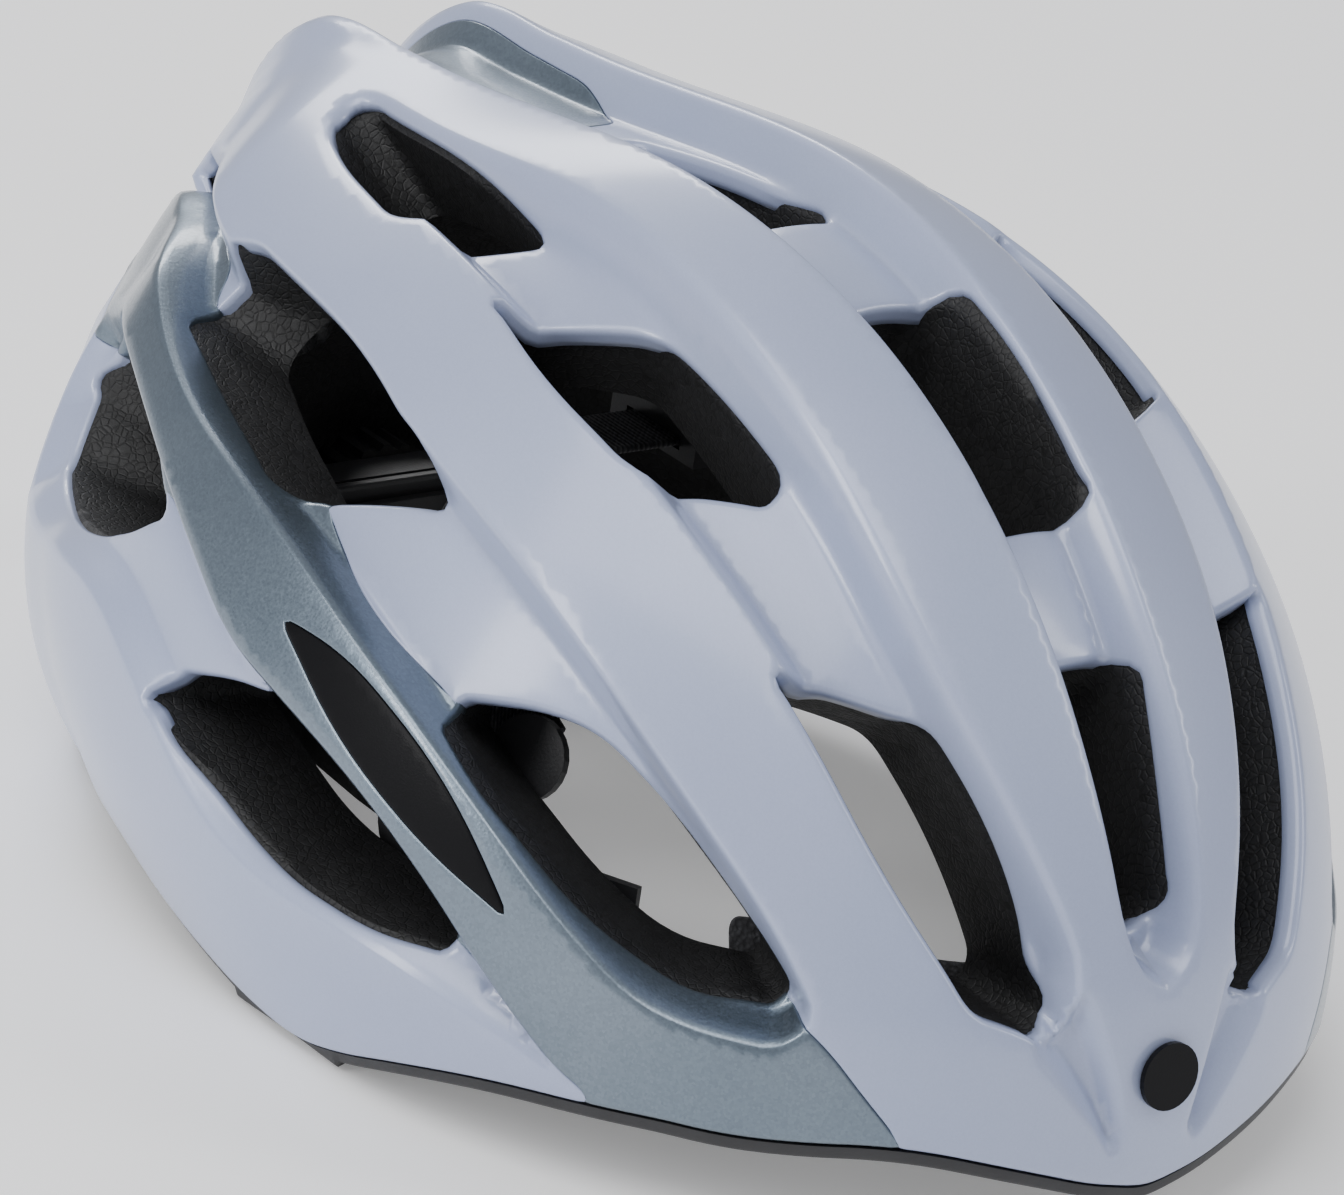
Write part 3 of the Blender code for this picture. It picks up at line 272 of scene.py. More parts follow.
def nearest_edge(uv, outline):
    """Distance from each place to a closed outline, positive inside, and its edge's index plus share."""
    start = np.asarray(outline, float)[:, :2]
    end = np.roll(start, -1, axis=0)
    edge = end - start
    squared = (edge * edge).sum(-1)
    rise = np.where(edge[:, 1] == 0, 1.0, edge[:, 1])
    result, point = np.empty((2, len(uv)))
    for first in range(0, len(uv), BATCH):
        some = uv[first:first + BATCH]
        offset = some[:, None, :] - start[None]
        along = np.clip((offset * edge).sum(-1) / squared, 0, 1)
        distance = ((offset - along[..., None] * edge)**2).sum(-1)
        near = distance.argmin(axis=1)
        row = np.arange(len(some))
        point[first:first + BATCH] = near + along[row, near]
        x, y = some[:, :1], some[:, 1:]
        spans = (start[:, 1] > y) != (end[:, 1] > y)
        crossing = start[:, 0] + (y - start[:, 1]) * edge[:, 0] / rise
        sign = np.where((spans & (x < crossing)).sum(axis=1) % 2 == 1, 1, -1)
        result[first:first + BATCH] = np.sqrt(distance[row, near]) * sign
    return result, point


def distance_inside(uv, outline):
    """Distance from each place to a closed outline, positive inside it."""
    return nearest_edge(uv, outline)[0]


def steps_inside(uv, outline):
    """How far inside an outline each place is, in widths given at the outline's points."""
    distance, point = nearest_edge(uv, outline)
    width = np.interp(point, np.arange(len(outline) + 1), np.append(outline[:, 2], outline[0, 2]))
    return np.maximum(distance, 0) / width


def smooth_step(t):
    """Ease from 0 to 1."""
    t = np.clip(t, 0, 1)
    return t * t * (3 - 2 * t)


def relief(uv):
    """Height of the shell above the smooth dome: valleys, the tilt of the rear and the nape corners."""
    side = np.abs(uv[:, 0])
    place = np.stack([side, uv[:, 1]], -1)
    depth = np.zeros(len(uv))
    for outline, depth_mm in valley_outlines:
        depth = np.maximum(depth, depth_mm * smooth_step(steps_inside(place, outline)))
    away = np.hypot(side - NAPE_BULGE_AT[0], uv[:, 1] - NAPE_BULGE_AT[1])
    share = smooth_step((uv[:, 1] - REAR_TILT_FROM) / REAR_TILT_EASE_IN)
    share = share * smooth_step((REAR_TILT_TO - uv[:, 1]) / REAR_TILT_EASE_OUT)
    tilt = np.interp(side, REAR_TILT_AT, REAR_TILT) * share
    return NAPE_BULGE * smooth_step(1 - away / NAPE_BULGE_REACH) + tilt - depth


def shell_surface(uv, inset=0.0):
    """Outside of the shell with its valleys, or a surface the inset below it."""
    return dome(uv) + normal_of(dome, uv) * (relief(uv) - inset)[:, None]


def cavity_surface(uv, inset=0.0):
    """Inside of the foam: an ellipsoid above its waist, with upright walls below it."""
    dx, dy, dz = direction(uv)
    level = np.hypot(dx, dy) + 1e-9
    widen = np.where(dz < 0, 1 / level, 1)
    height = np.where(dz > 0, CAVITY_CROWN - inset, CAVITY_DROP)
    return np.stack([(CAVITY_HALF_WIDTH - inset) * dx * widen, (CAVITY_HALF_LENGTH - inset) * dy * widen,
                     CAVITY_WAIST + CAVITY_RISE * dy + height * dz], -1)


# -------------------- outlines

def both_sides(half):
    """Close a half outline that starts and ends on the centre line."""
    return half + [(-x, *rest) for x, *rest in reversed(half) if x > 0]


def turning(line):
    """1 where a closed line runs anticlockwise over the chart, -1 where it runs clockwise."""
    x, y = line[:, 0], line[:, 1]
    return np.sign((x * np.roll(y, -1) - np.roll(x, -1) * y).sum())


def tangents(line):
    """Unit directions along a closed line."""
    return unit((np.roll(line, -1, axis=0) - np.roll(line, 1, axis=0))[:, :2])


def rounded(corners, pitch, offset=0.0):
    """Closed outline with rounded corners and even spacing, moved outwards by an offset."""
    points = [np.array(p, float) for p in corners]
    count = len(points)
    line = []
    for i, corner in enumerate(points):
        back = points[i - 1] - corner
        ahead = points[(i + 1) % count] - corner
        before, after = np.linalg.norm(back[:2]), np.linalg.norm(ahead[:2])
        shortest = min(before, after)
        back /= before
        ahead /= after
        turn = math.pi - math.acos(np.clip(back[:2] @ ahead[:2], -1, 1))
        cut = min(CORNER, CORNER_SHARE * shortest) if turn > SHARP_TURN else 0.5 * shortest
        for t in np.linspace(0, 1, 7):
            line.append(corner + (1 - t)**2 * cut * back + t**2 * cut * ahead)
    line = resampled(np.array(line), pitch)
    if offset:
        tangent = tangents(line)
        outwards = np.stack([tangent[:, 1], -tangent[:, 0]], -1)
        line = line + outwards * offset * turning(line)
    line[np.abs(line[:, 0]) < 0.3 * pitch, 0] = 0
    return line


def resampled(line, pitch):
    """The same closed line with evenly spaced points."""
    closed = np.vstack([line, line[:1]])
    length = np.concatenate([[0], np.cumsum(np.linalg.norm(np.diff(closed[:, :2], axis=0), axis=1))])
    keep = np.concatenate([[True], np.diff(length) > 1e-9])
    closed, length = closed[keep], length[keep]
    count = max(8, round(length[-1] / pitch))
    at = np.arange(count) * length[-1] / count
    return np.stack([np.interp(at, length, closed[:, k]) for k in range(line.shape[1])], -1)


valley_outlines = [(rounded(both_sides(points) if centred else points, VALLEY_PITCH), depth_mm)
                   for points, centred, depth_mm in VALLEYS]


def vent_lines(offset):
    """Outlines of every vent over the left half, moved outwards by an offset."""
    lines = [rounded(both_sides(points), LINE_PITCH, offset) for points in CENTRE_VENTS.values()]
    return lines + [rounded(points, LINE_PITCH, offset) for points in SIDE_VENTS.values()]


# -------------------- meshes over the chart

def slope_runs(shares, pitch):
    """Closed rows of places down the valleys' sloping sides, and which places lie at their true share."""
    runs = []
    for outline, _ in valley_outlines:
        line = resampled(outline, pitch)
        tangent = tangents(line)
        inwards = np.stack([-tangent[:, 1], tangent[:, 0]], -1) * turning(line)
        for share in shares:
            places = line[:, :2] + inwards * (line[:, 2] * share)[:, None]
            true = np.abs(steps_inside(places, outline) - share) < ROW_ERROR
            runs.append((places, true & (places[:, 0] > ROW_OFF_CENTRE)))
    return runs


def add_rows(places, edges, outlines, runs, pitch):
    """Add the rows' places and edges, and return a search tree of them, never empty."""
    taken = KDTree(1 + sum(len(line) for line, _ in runs))
    taken.insert((2 * CENTRE_LINE, 2 * CENTRE_LINE, 0), 0)
    taken.balance()
    count = 1
    for line, true in runs:
        clear = true & (distance_inside(line, outlines[0]) > 0.3 * pitch)
        for other in outlines[1:]:
            clear &= np.abs(distance_inside(line, other)) > 0.3 * pitch
        clear &= np.array([taken.find((*p, 0))[2] > ROW_SPACING for p in line])
        number = np.full(len(line), -1)
        number[clear] = len(places) + np.arange(clear.sum())
        places += [tuple(p) for p in line[clear]]
        edges += [(int(a), int(b)) for a, b in zip(number, np.roll(number, -1)) if a >= 0 and b >= 0]
        for p in line[clear]:
            taken.insert((*p, 0), count)
            count += 1
        taken.balance()
    return taken


def triangulate(outlines, pitch, runs):
    """Triangles over the left half, with every outline as edges: places and triples of indices."""
    places, edges = [], []
    for line in outlines:
        first = len(places)
        places += [tuple(p) for p in line]
        edges += [(first + i, first + (i + 1) % len(line)) for i in range(len(line))]
    places += [(0, -CENTRE_LINE), (0, CENTRE_LINE)]
    edges.append((len(places) - 2, len(places) - 1))
    taken = add_rows(places, edges, outlines, runs, pitch)
    inner = []
    for k, row in enumerate(np.arange(CHART_FRONT, CHART_BACK, pitch * 0.87)):
        inner += [(x, row) for x in np.arange(pitch * (0.5 + 0.5 * (k % 2)), CHART_SIDE, pitch)]
        inner.append((0, row))
    inner = np.array(inner)
    inner = inner[distance_inside(inner, outlines[0]) > 0.5 * pitch]
    for line in outlines[1:]:
        inner = inner[np.abs(distance_inside(inner, line)) > 0.55 * pitch]
    inner = inner[(inner[:, 0] == 0) | (inner[:, 0] > 0.4 * pitch)]
    places += [tuple(p) for p in inner if taken.find((*p, 0))[2] > 0.5 * pitch]
    result = delaunay_2d_cdt([Vector(p) for p in places], edges, [], 0, 1e-4)
    uv = np.array([tuple(p) for p in result[0]], float)
    uv[np.abs(uv[:, 0]) < 1e-4, 0] = 0
    faces = np.array([list(f) for f in result[2]])
    middle = uv[faces].mean(axis=1)
    keep = (middle[:, 0] > 0) & (distance_inside(middle, outlines[0]) > 0)
    return uv, faces[keep]


def compact(uv, faces):
    """The places that some faces use, those faces renumbered, and the places' old numbers."""
    used = np.unique(faces)
    renumber = np.full(len(uv), -1)
    renumber[used] = np.arange(len(used))
    return uv[used], renumber[faces], used


def boundary_edges(faces, centre):
    """Directed edges that belong to one face only and don't lie on the centre line."""
    edges = np.concatenate([faces[:, [0, 1]], faces[:, [1, 2]], faces[:, [2, 0]]])
    known = {(int(a), int(b)) for a, b in edges}
    edges = np.array([pair for pair in known if (pair[1], pair[0]) not in known])
    return edges[~(centre[edges[:, 0]] & centre[edges[:, 1]])]


def mirrored(points, faces, centre):
    """Add the other half: centre points are shared, and the new faces turn the other way."""
    count = len(points)
    other = np.arange(count) + count
    other[centre] = np.flatnonzero(centre)
    flipped = points * [-1, 1, 1]
    used = np.ones(2 * count, bool)
    used[count:][centre] = False
    renumber = np.cumsum(used) - 1
    everything = np.concatenate([points, flipped])[used]
    new_faces = [tuple(renumber[other[i]] for i in reversed(face)) for face in faces]
    return everything, [tuple(renumber[i] for i in face) for face in faces] + new_faces


def new_object(name, points, faces, material, sharp=None):
    """A smooth object from points in millimetres; edges over the sharp angle in degrees stay sharp."""
    mesh = bpy.data.meshes.new(name)
    mesh.from_pydata([tuple(p) for p in np.asarray(points) * MM], [], [tuple(map(int, f)) for f in faces])
    mesh.materials.append(material)
    mesh.shade_smooth()
    if sharp:
        mesh.set_sharp_from_angle(angle=math.radians(sharp))
    mesh.update()
    thing = bpy.data.objects.new(name, mesh)
    bpy.context.scene.collection.objects.link(thing)
    return thing


def both_halves(name, points, faces, material, centre, sharp=None):
    """One object across the centre line, or a left and a right one where the piece has no centre."""
    if centre.any():
        points[centre, 0] = 0
        return [new_object(name, *mirrored(points, faces, centre), material, sharp)]
    other = [tuple(reversed(face)) for face in faces]
    return [new_object(name + "_left", points, faces, material, sharp),
            new_object(name + "_right", points * [-1, 1, 1], other, material, sharp)]


def place_piece(thing, body, slot, *replaced):
    """Ride a body and stand in for the frame's nodes; the slot is not used."""
    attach(thing, body)
    if replaced:
        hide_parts(*replaced)


def spread_along(values, edges, rounds):
    """Average a per-vertex value along the boundary, so that it changes gradually."""
    for _ in range(rounds):
        total = values.copy()
        share = np.ones((len(values),) + (1,) * (values.ndim - 1))
        for a, b in ((0, 1), (1, 0)):
            np.add.at(total, edges[:, a], values[edges[:, b]])
            np.add.at(share, edges[:, a], 1)
        values = total / share
    return values


def joined_ring(ring, edges, edge_points, first):
    """Numbers of a new ring of boundary points, and the faces that join it to the last ring."""
    new_ring = np.full(len(ring), -1)
    new_ring[edge_points] = first + np.arange(len(edge_points))
    return new_ring, [(ring[b], ring[a], new_ring[a], new_ring[b]) for a, b in edges]


def skin(name, material, uv, faces, kinds):
    """A moulded skin: its outer face, edges rolled over, and its under face."""
    places, faces, used = compact(uv, faces)
    kind = kinds[used]
    centre = places[:, 0] == 0
    points = shell_surface(places)
    normals = normal_of(shell_surface, places, SKIN_NORMAL_STEP)
    edges = boundary_edges(faces, centre)
    edge_points = np.unique(edges)

    along = points[edges[:, 1]] - points[edges[:, 0]]
    outwards = np.zeros_like(points)
    for end in (0, 1):
        np.add.at(outwards, edges[:, end], np.cross(along, normals[edges[:, end]]))
    outwards = spread_along(outwards, edges, LIP_SMOOTHING)
    outwards[centre, 0] = 0
    outwards = unit(outwards)
    normals[edge_points] = spread_along(normals, edges, LIP_SMOOTHING)[edge_points]
    normals[centre, 0] = 0
    normals = unit(normals)
    drawn = np.where(kind == SEAM, SEAM_GAP, 0.0)
    roll, drop, drawn = (spread_along(v, edges, 2) for v in (LIP_ROLLS[kind], LIP_DROPS[kind], drawn))
    points[edge_points] -= outwards[edge_points] * drawn[edge_points, None]

    layers = [points]
    everything = [tuple(f) for f in faces]
    ring = np.arange(len(points))
    count = len(points)
    turns = [(math.sin(a), 1 - math.cos(a), 0) for a in np.radians(LIP_TURNS)]
    for across, down, straight in turns + [(1, 1, 0.5), (1, 1, 1), (0.2, 1, 1)]:
        sink = roll * down + drop * straight
        layer = (points + outwards * (roll * across)[:, None] - normals * sink[:, None])[edge_points]
        layers.append(layer)
        ring, joining = joined_ring(ring, edges, edge_points, count)
        everything += joining
        count += len(edge_points)
    under = points - normals * SHELL_THICKNESS
    layers.append(under)
    everything += [tuple(f[::-1] + count) for f in faces]
    everything += [(ring[b], ring[a], count + a, count + b) for a, b in edges]
    middle = np.concatenate([centre, *[centre[edge_points]] * (len(layers) - 2), centre])
    return both_halves(name, np.concatenate(layers), everything, material, middle)


def build_shell(mats):
    """Outer shell, silver bands, black inserts and rear panel, cut from one set of triangles."""
    vents = vent_lines(LIP_OFFSET)
    rim = rounded(both_sides(RIM), LINE_PITCH, -LIP_OFFSET)
    band = rounded(BAND, LINE_PITCH)
    insert = rounded(INSERT, LINE_PITCH)
    panel = rounded(both_sides(REAR_PANEL), LINE_PITCH)
    uv, faces = triangulate([rim] + vents + [band, insert, panel], SHELL_PITCH,
                            slope_runs(SLOPE_ROWS, LINE_PITCH))
    middle = uv[faces].mean(axis=1)
    solid = np.ones(len(faces), bool)
    kinds = np.full(len(uv), SEAM)
    for line in vents:
        solid &= distance_inside(middle, line) < 0
        kinds[np.abs(distance_inside(uv, line)) < ON_LINE] = VENT
    kinds[np.abs(distance_inside(uv, rim)) < ON_LINE] = EDGE
    in_insert = distance_inside(middle, insert) > 0
    in_band = (distance_inside(middle, band) > 0) & ~in_insert
    in_panel = distance_inside(middle, panel) > 0
    rest = ~in_insert & ~in_band & ~in_panel

    for name, material, inside, slot, replaced in (
            ("shell", "pearl", rest, "shell_white", ["outer_shell"]),
            ("rear_panel", "silver", in_panel, "band_silver", ["rear_centre_panel"]),
            ("band", "silver", in_band, "band_silver", ["side_band_left", "side_band_right"]),
            ("insert", "satin", in_insert, "insert_black", ["accent_insert_left", "accent_insert_right"])):
        for thing, node in zip(skin(name, mats[material], uv, faces[solid & inside], kinds), replaced):
            place_piece(thing, "helmet", slot, node)


def build_foam(mats):
    """Foam liner: outer face under the shell, beaded vent walls, smooth head cavity."""
    vents = vent_lines(FOAM_LIP_OFFSET)
    rim = rounded(both_sides(RIM), LINE_PITCH, -FOAM_RIM_OFFSET)
    uv, faces = triangulate([rim] + vents, FOAM_PITCH, slope_runs(FOAM_ROWS, FOAM_ROW_PITCH))
    middle = uv[faces].mean(axis=1)
    solid = np.ones(len(faces), bool)
    for line in vents:
        solid &= distance_inside(middle, line) < 0
    places, faces, _ = compact(uv, faces[solid])
    centre = places[:, 0] == 0
    outer = shell_surface(places, FOAM_UNDER)
    inner = cavity_surface(places)
    edges = boundary_edges(faces, centre)
    edge_points = np.unique(edges)

    along = (outer + inner)[edges[:, 1]] - (outer + inner)[edges[:, 0]]
    through = outer - inner
    facing = np.zeros_like(outer)
    for end in (0, 1):
        np.add.at(facing, edges[:, end], np.cross(along, through[edges[:, end]]))
    facing[centre, 0] = 0
    facing = unit(facing)

    count = len(places)
    layers = [outer, inner]
    everything = [tuple(f) for f in faces] + [tuple(f[::-1] + count) for f in faces]
    ring = np.arange(count)
    total = 2 * count
    for row in range(1, WALL_ROWS):
        t = row / WALL_ROWS
        layer = (outer + (inner - outer) * t)[edge_points]
        for i, point in enumerate(layer):
            near, _ = noise.voronoi(Vector(point) / BEAD_SIZE)
            layer[i] = point + facing[edge_points[i]] * (BEAD_MIDDLE - near[0]) * BEAD_RELIEF
        layers.append(layer)
        ring, joining = joined_ring(ring, edges, edge_points, total)
        everything += joining
        total += len(edge_points)
    everything += [(ring[b], ring[a], count + a, count + b) for a, b in edges]
    middle = np.concatenate([centre, centre, *[centre[edge_points]] * (WALL_ROWS - 1)])
    thing, = both_halves("foam", np.concatenate(layers), everything, mats["foam"], middle, CREASE)
    place_piece(thing, "helmet", "foam_black", "foam_liner_left", "foam_liner_right")


def ring_faces(here, there, count):
    """Faces between two closed rings of points, each given by its first point's number."""
    return [(here + k, here + (k + 1) % count, there + (k + 1) % count, there + k) for k in range(count)]


def build_rim_trim(mats):
    """Black edge under the shell: a rounded bead, flat where the helmet stands on it."""
    rim = rounded(both_sides(RIM), LINE_PITCH)
    outer = shell_surface(rim, TRIM_INSET)
    down = unit(dome(rim * 1.01) - dome(rim))
    inner = cavity_surface(rim)
    inwards = unit(inner - outer)
    inner = inner - inwards * TRIM_OVERLAP
    lowest = (outer + down * TRIM_HEIGHT)[:, 2] < LAND_BELOW
    section = [(outer, *step) for step in TRIM_OUTSIDE] + [(inner, *step) for step in TRIM_INSIDE]
    least_side, least_bottom = TRIM_LEAST_HEIGHTS
    rings = []
    for side, across, below in section:
        ring = side + inwards * across + down * below
        if below == TRIM_HEIGHT:
            ring[:, 2] = np.where(lowest, 0, np.maximum(ring[:, 2], least_bottom))
        elif below > 1:
            ring[:, 2] = np.where(lowest, TRIM_HEIGHT - below + 0.1, np.maximum(ring[:, 2], least_side))
        rings.append(ring)
    count = len(rim)
    faces = []
    for k in range(len(rings)):
        faces += ring_faces(k * count, (k + 1) % len(rings) * count, count)
    thing = new_object("lower_edge", np.concatenate(rings), faces, mats["trim"], CREASE)
    place_piece(thing, "helmet", "trim_black", "rim_trim")


# -------------------- pads

def puffed(thing, most):
    """Fill a pad with air by a short cloth simulation; no point moves more than the given millimetres."""
    mesh = thing.data
    start = np.empty(3 * len(mesh.vertices))
    mesh.vertices.foreach_get("co", start)
    cloth = thing.modifiers.new("filling", 'CLOTH')
    cloth.settings.use_pressure = True
    cloth.settings.uniform_pressure_force = PUFF_PRESSURE
    cloth.settings.effector_weights.gravity = 0
    cloth.point_cache.frame_start, cloth.point_cache.frame_end = 1, PUFF_FRAMES
    for frame_number in range(1, PUFF_FRAMES + 1):
        bpy.context.scene.frame_set(frame_number)
    settled = thing.evaluated_get(bpy.context.evaluated_depsgraph_get())
    end = np.empty_like(start)
    settled.data.vertices.foreach_get("co", end)
    thing.modifiers.remove(cloth)
    bpy.context.scene.frame_set(1)
    move = (end - start).reshape(-1, 3)
    length = np.linalg.norm(move, axis=1, keepdims=True) + 1e-12
    move *= np.minimum(1, most * MM / length)
    mesh.vertices.foreach_set("co", (start.reshape(-1, 3) + move).ravel())
    mesh.update()


def build_pad(name, outline, centred, surface, channels, material):
    """Welded pad: a thin flange round a filled middle, with pressed channels across it."""
    line = rounded(both_sides(outline) if centred else outline, PAD_PITCH)
    places, faces, _ = compact(*triangulate([line], PAD_PITCH, []))
    centre = places[:, 0] == 0
    edges = boundary_edges(faces, centre)
    fill = smooth_step((distance_inside(places, line) - 0.35 * PAD_FLANGE) / PAD_FLANGE)
    for axis, at in channels:
        fill = fill * (1 - CHANNEL_DEPTH * np.exp(-((places[:, axis] - at) / CHANNEL_WIDTH)**2))
    back = surface(places, np.full(len(places), PAD_CLEARANCE))
    front = surface(places, PAD_CLEARANCE + FLANGE_THICKNESS + (PAD_HEIGHT - FLANGE_THICKNESS) * fill)
    count = len(places)
    everything = [tuple(f) for f in faces] + [tuple(f[::-1] + count) for f in faces]
    everything += [(b, a, count + a, count + b) for a, b in edges]
    return both_halves(name, np.concatenate([back, front]), everything, material, np.tile(centre, 2))


def on_cavity(places, height):
    """Surface a height above the cavity wall's pad ground."""
    return cavity_surface(places, PAD_GAP + height)


def on_plate(places, height):
    """The occipital pads' ground: upright, facing the head, with places as millimetres across and up."""
    bow = OCCIPITAL_BOW * (places[:, 0] - OCCIPITAL_MIDDLE)**2
    return np.stack([places[:, 0], OCCIPITAL_BACK - bow - height * OCCIPITAL_SHARE, places[:, 1]], -1)


def build_pads(mats):
    """Every pad, filled and softened, in its place on the helmet or the cradle."""
    for name, outline, centred, surface, channels, body, node in PADS:
        pieces = build_pad(name, outline, centred, surface, channels, mats["knit"])
        targets = [node] if centred else [f"{node}_{side}" for _, side in SIDES]
        for thing, target in zip(pieces, targets):
            puffed(thing, PUFF_MOST)
            smooth = thing.modifiers.new("soft_edges", 'SUBSURF')
            smooth.levels = smooth.render_levels = 1
            place_piece(thing, body, "pad_fabric", target)


# -------------------- webbing

def strap_direction():
    """Unit vector up the left chin strap, from its divider to the corner at the top."""
    return (Vector((STRAP_CORNER, 0, STRAP_TOP)) - Vector(DIVIDER_AT)).normalized()


def wall_point(rearwards, height):
    """Point on the upper cavity wall on the left, and the wall's outward normal."""
    along = rearwards / CAVITY_HALF_LENGTH
    up = (height - CAVITY_WAIST - CAVITY_RISE * along) / CAVITY_CROWN
    across = math.sqrt(1 - along**2 - up**2)
    normal = Vector((across / CAVITY_HALF_WIDTH, along / CAVITY_HALF_LENGTH, up / CAVITY_CROWN))
    return Vector((across * CAVITY_HALF_WIDTH, rearwards, height)), normal.normalized()


def webbing_strip(name, path, facings, material):
    """Woven strip with round selvedges along a path; its UVs are millimetres along and across."""
    half, thick = WEBBING_WIDTH / 2, WEBBING_THICKNESS / 2
    turns = np.radians((-90, -45, 0, 45, 90))
    section = [(half - thick + thick * math.cos(a), thick * math.sin(a)) for a in turns]
    section += [(-x, y) for x, y in reversed(section)]
    count = len(section)
    points, faces, run = [], [], [0.0]
    for i, (point, facing) in enumerate(zip(path, facings)):
        ahead = (path[min(i + 1, len(path) - 1)] - path[max(i - 1, 0)]).normalized()
        across = facing.cross(ahead).normalized()
        up = ahead.cross(across)
        points += [point + across * x + up * y for x, y in section]
        if i:
            run.append(run[-1] + (point - path[i - 1]).length)
            faces += ring_faces((i - 1) * count, i * count, count)
    faces += [tuple(reversed(range(count))), tuple(range(len(points) - count, len(points)))]
    thing = new_object(name, points, faces, material, CREASE)
    grid = thing.data.uv_layers.new(name="UVMap")
    for corner in thing.data.loops:
        step, at = divmod(corner.vertex_index, count)
        grid.data[corner.index].uv = (run[step], section[at][0])
    return thing


def eased(points, pitch):
    """A path through the points' corners, rounded, with even spacing."""
    line = [points[0]]
    for before, corner, after in zip(points, points[1:], points[2:]):
        cut = min(BEND_CUT, 0.45 * (corner - before).length, 0.45 * (after - corner).length)
        start = corner + (before - corner).normalized() * cut
        end = corner + (after - corner).normalized() * cut
        line += [start.lerp(corner, t).lerp(corner.lerp(end, t), t) for t in (0, 0.25, 0.5, 0.75, 1)]
    line.append(points[-1])
    even = [line[0]]
    for here, there in zip(line, line[1:]):
        parts = max(1, round((there - here).length / pitch))
        even += [here.lerp(there, k / parts) for k in range(1, parts + 1)]
    return even


def build_webbing(mats):
    """Chin, front and rear webbing of both sides, tucked up inside the helmet."""
    for side, name in SIDES:
        mirror = Vector((side, 1, 1))
        up = strap_direction()
        top = Vector((STRAP_CORNER, 0, STRAP_TOP))
        chin = eased([Vector(DIVIDER_AT) - up * STRAP_TAIL, top - up * STRAP_TURN,
                      top - Vector((STRAP_TURN, 0, 0)),
                      Vector((STRAP_ENDS[side < 0], 0, STRAP_TOP))], 2.5)
        chin = [p * mirror for p in chin]
        aheads = [after - before for before, after in zip(chin[:1] + chin, chin[1:] + chin[-1:])]
        facings = [Vector((ahead.z, 0, -ahead.x)) for ahead in aheads]
        thing = webbing_strip("chin_webbing_" + name, chin, facings, mats["webbing"])
        place_piece(thing, "helmet", "webbing_black", "chin_strap_" + name)
        for where, (rearwards, height) in ANCHORS.items():
            wall, normal = wall_point(rearwards, height)
            towards = math.copysign(1, rearwards)
            start = Vector(DIVIDER_AT) - up * 2 + Vector((0, towards * (DIVIDER_LENGTH / 2 + 3.6), 0))
            path = [p * mirror for p in eased([start, wall - normal * ANCHOR_INSET], 3.0)]
            facing = (normal + Vector((0.6, 0, 0))) * mirror
            thing = webbing_strip(f"{where}_webbing_{name}", path, [facing] * len(path), mats["webbing"])
            place_piece(thing, "helmet", "webbing_black", f"{where}_strap_{name}")


# -------------------- materials

class Shader:
    """A Principled material with a few shortcuts for its texture nodes."""

    def __init__(self, name, colour, roughness, metallic=0.0, **constants):
        self.material = bpy.data.materials.new(name)
        self.material.use_nodes = True
        self.tree = self.material.node_tree
        self.out = self.tree.nodes["Principled BSDF"]
        self.out.inputs["Base Color"].default_value = (*colour, 1)
        self.out.inputs["Roughness"].default_value = roughness
        self.out.inputs["Metallic"].default_value = metallic
        for key, value in constants.items():
            self.out.inputs[key.replace("_", " ").title().replace("Ior", "IOR")].default_value = value
        self.place = self.tree.nodes.new("ShaderNodeTexCoord").outputs["Object"]

    def link(self, a, b):
        self.tree.links.new(a, b)

    def noise(self, scale, detail):
        node = self.tree.nodes.new("ShaderNodeTexNoise")
        node.inputs["Scale"].default_value = scale
        node.inputs["Detail"].default_value = detail
        self.link(self.place, node.inputs["Vector"])
        return node.outputs["Fac"]

    def cells(self, scale, feature='F1', output="Distance"):
        node = self.tree.nodes.new("ShaderNodeTexVoronoi")
        node.feature = feature
        node.inputs["Scale"].default_value = scale
        self.link(self.place, node.inputs["Vector"])
        return node.outputs[output]

    def ramp(self, source, low, high, start=0.0, end=1.0):
        """Colours from low to high as the source goes from start to end."""
        node = self.tree.nodes.new("ShaderNodeValToRGB")
        first, last = node.color_ramp.elements
        first.position, first.color = start, (*low, 1)
        last.position, last.color = end, (*high, 1)
        self.link(source, node.inputs["Fac"])
        return node.outputs["Color"]

    def span(self, source, low, high, start=0.0, end=1.0):
        """Numbers from low to high as the source goes from start to end."""
        node = self.tree.nodes.new("ShaderNodeMapRange")
        for key, value in zip(("From Min", "From Max", "To Min", "To Max"), (start, end, low, high)):
            node.inputs[key].default_value = value
        self.link(source, node.inputs["Value"])
        return node.outputs["Result"]

    def bump(self, height, strength, distance, below=None):
        node = self.tree.nodes.new("ShaderNodeBump")
        node.inputs["Strength"].default_value = strength
        node.inputs["Distance"].default_value = distance
        self.link(height, node.inputs["Height"])
        if below:
            self.link(below, node.inputs["Normal"])
        self.link(node.outputs["Normal"], self.out.inputs["Normal"])
        return node.outputs["Normal"]

    def mix(self, factor, a, b, blend='MIX'):
        """Blend two colours by a fixed factor."""
        node = self.tree.nodes.new("ShaderNodeMix")
        node.data_type = 'RGBA'
        node.blend_type = blend
        node.inputs["Factor"].default_value = factor
        self.link(a, node.inputs["A"])
        self.link(b, node.inputs["B"])
        return node.outputs["Result"]

    def colour(self, source):
        self.link(source, self.out.inputs["Base Color"])

    def rough(self, source):
        self.link(source, self.out.inputs["Roughness"])


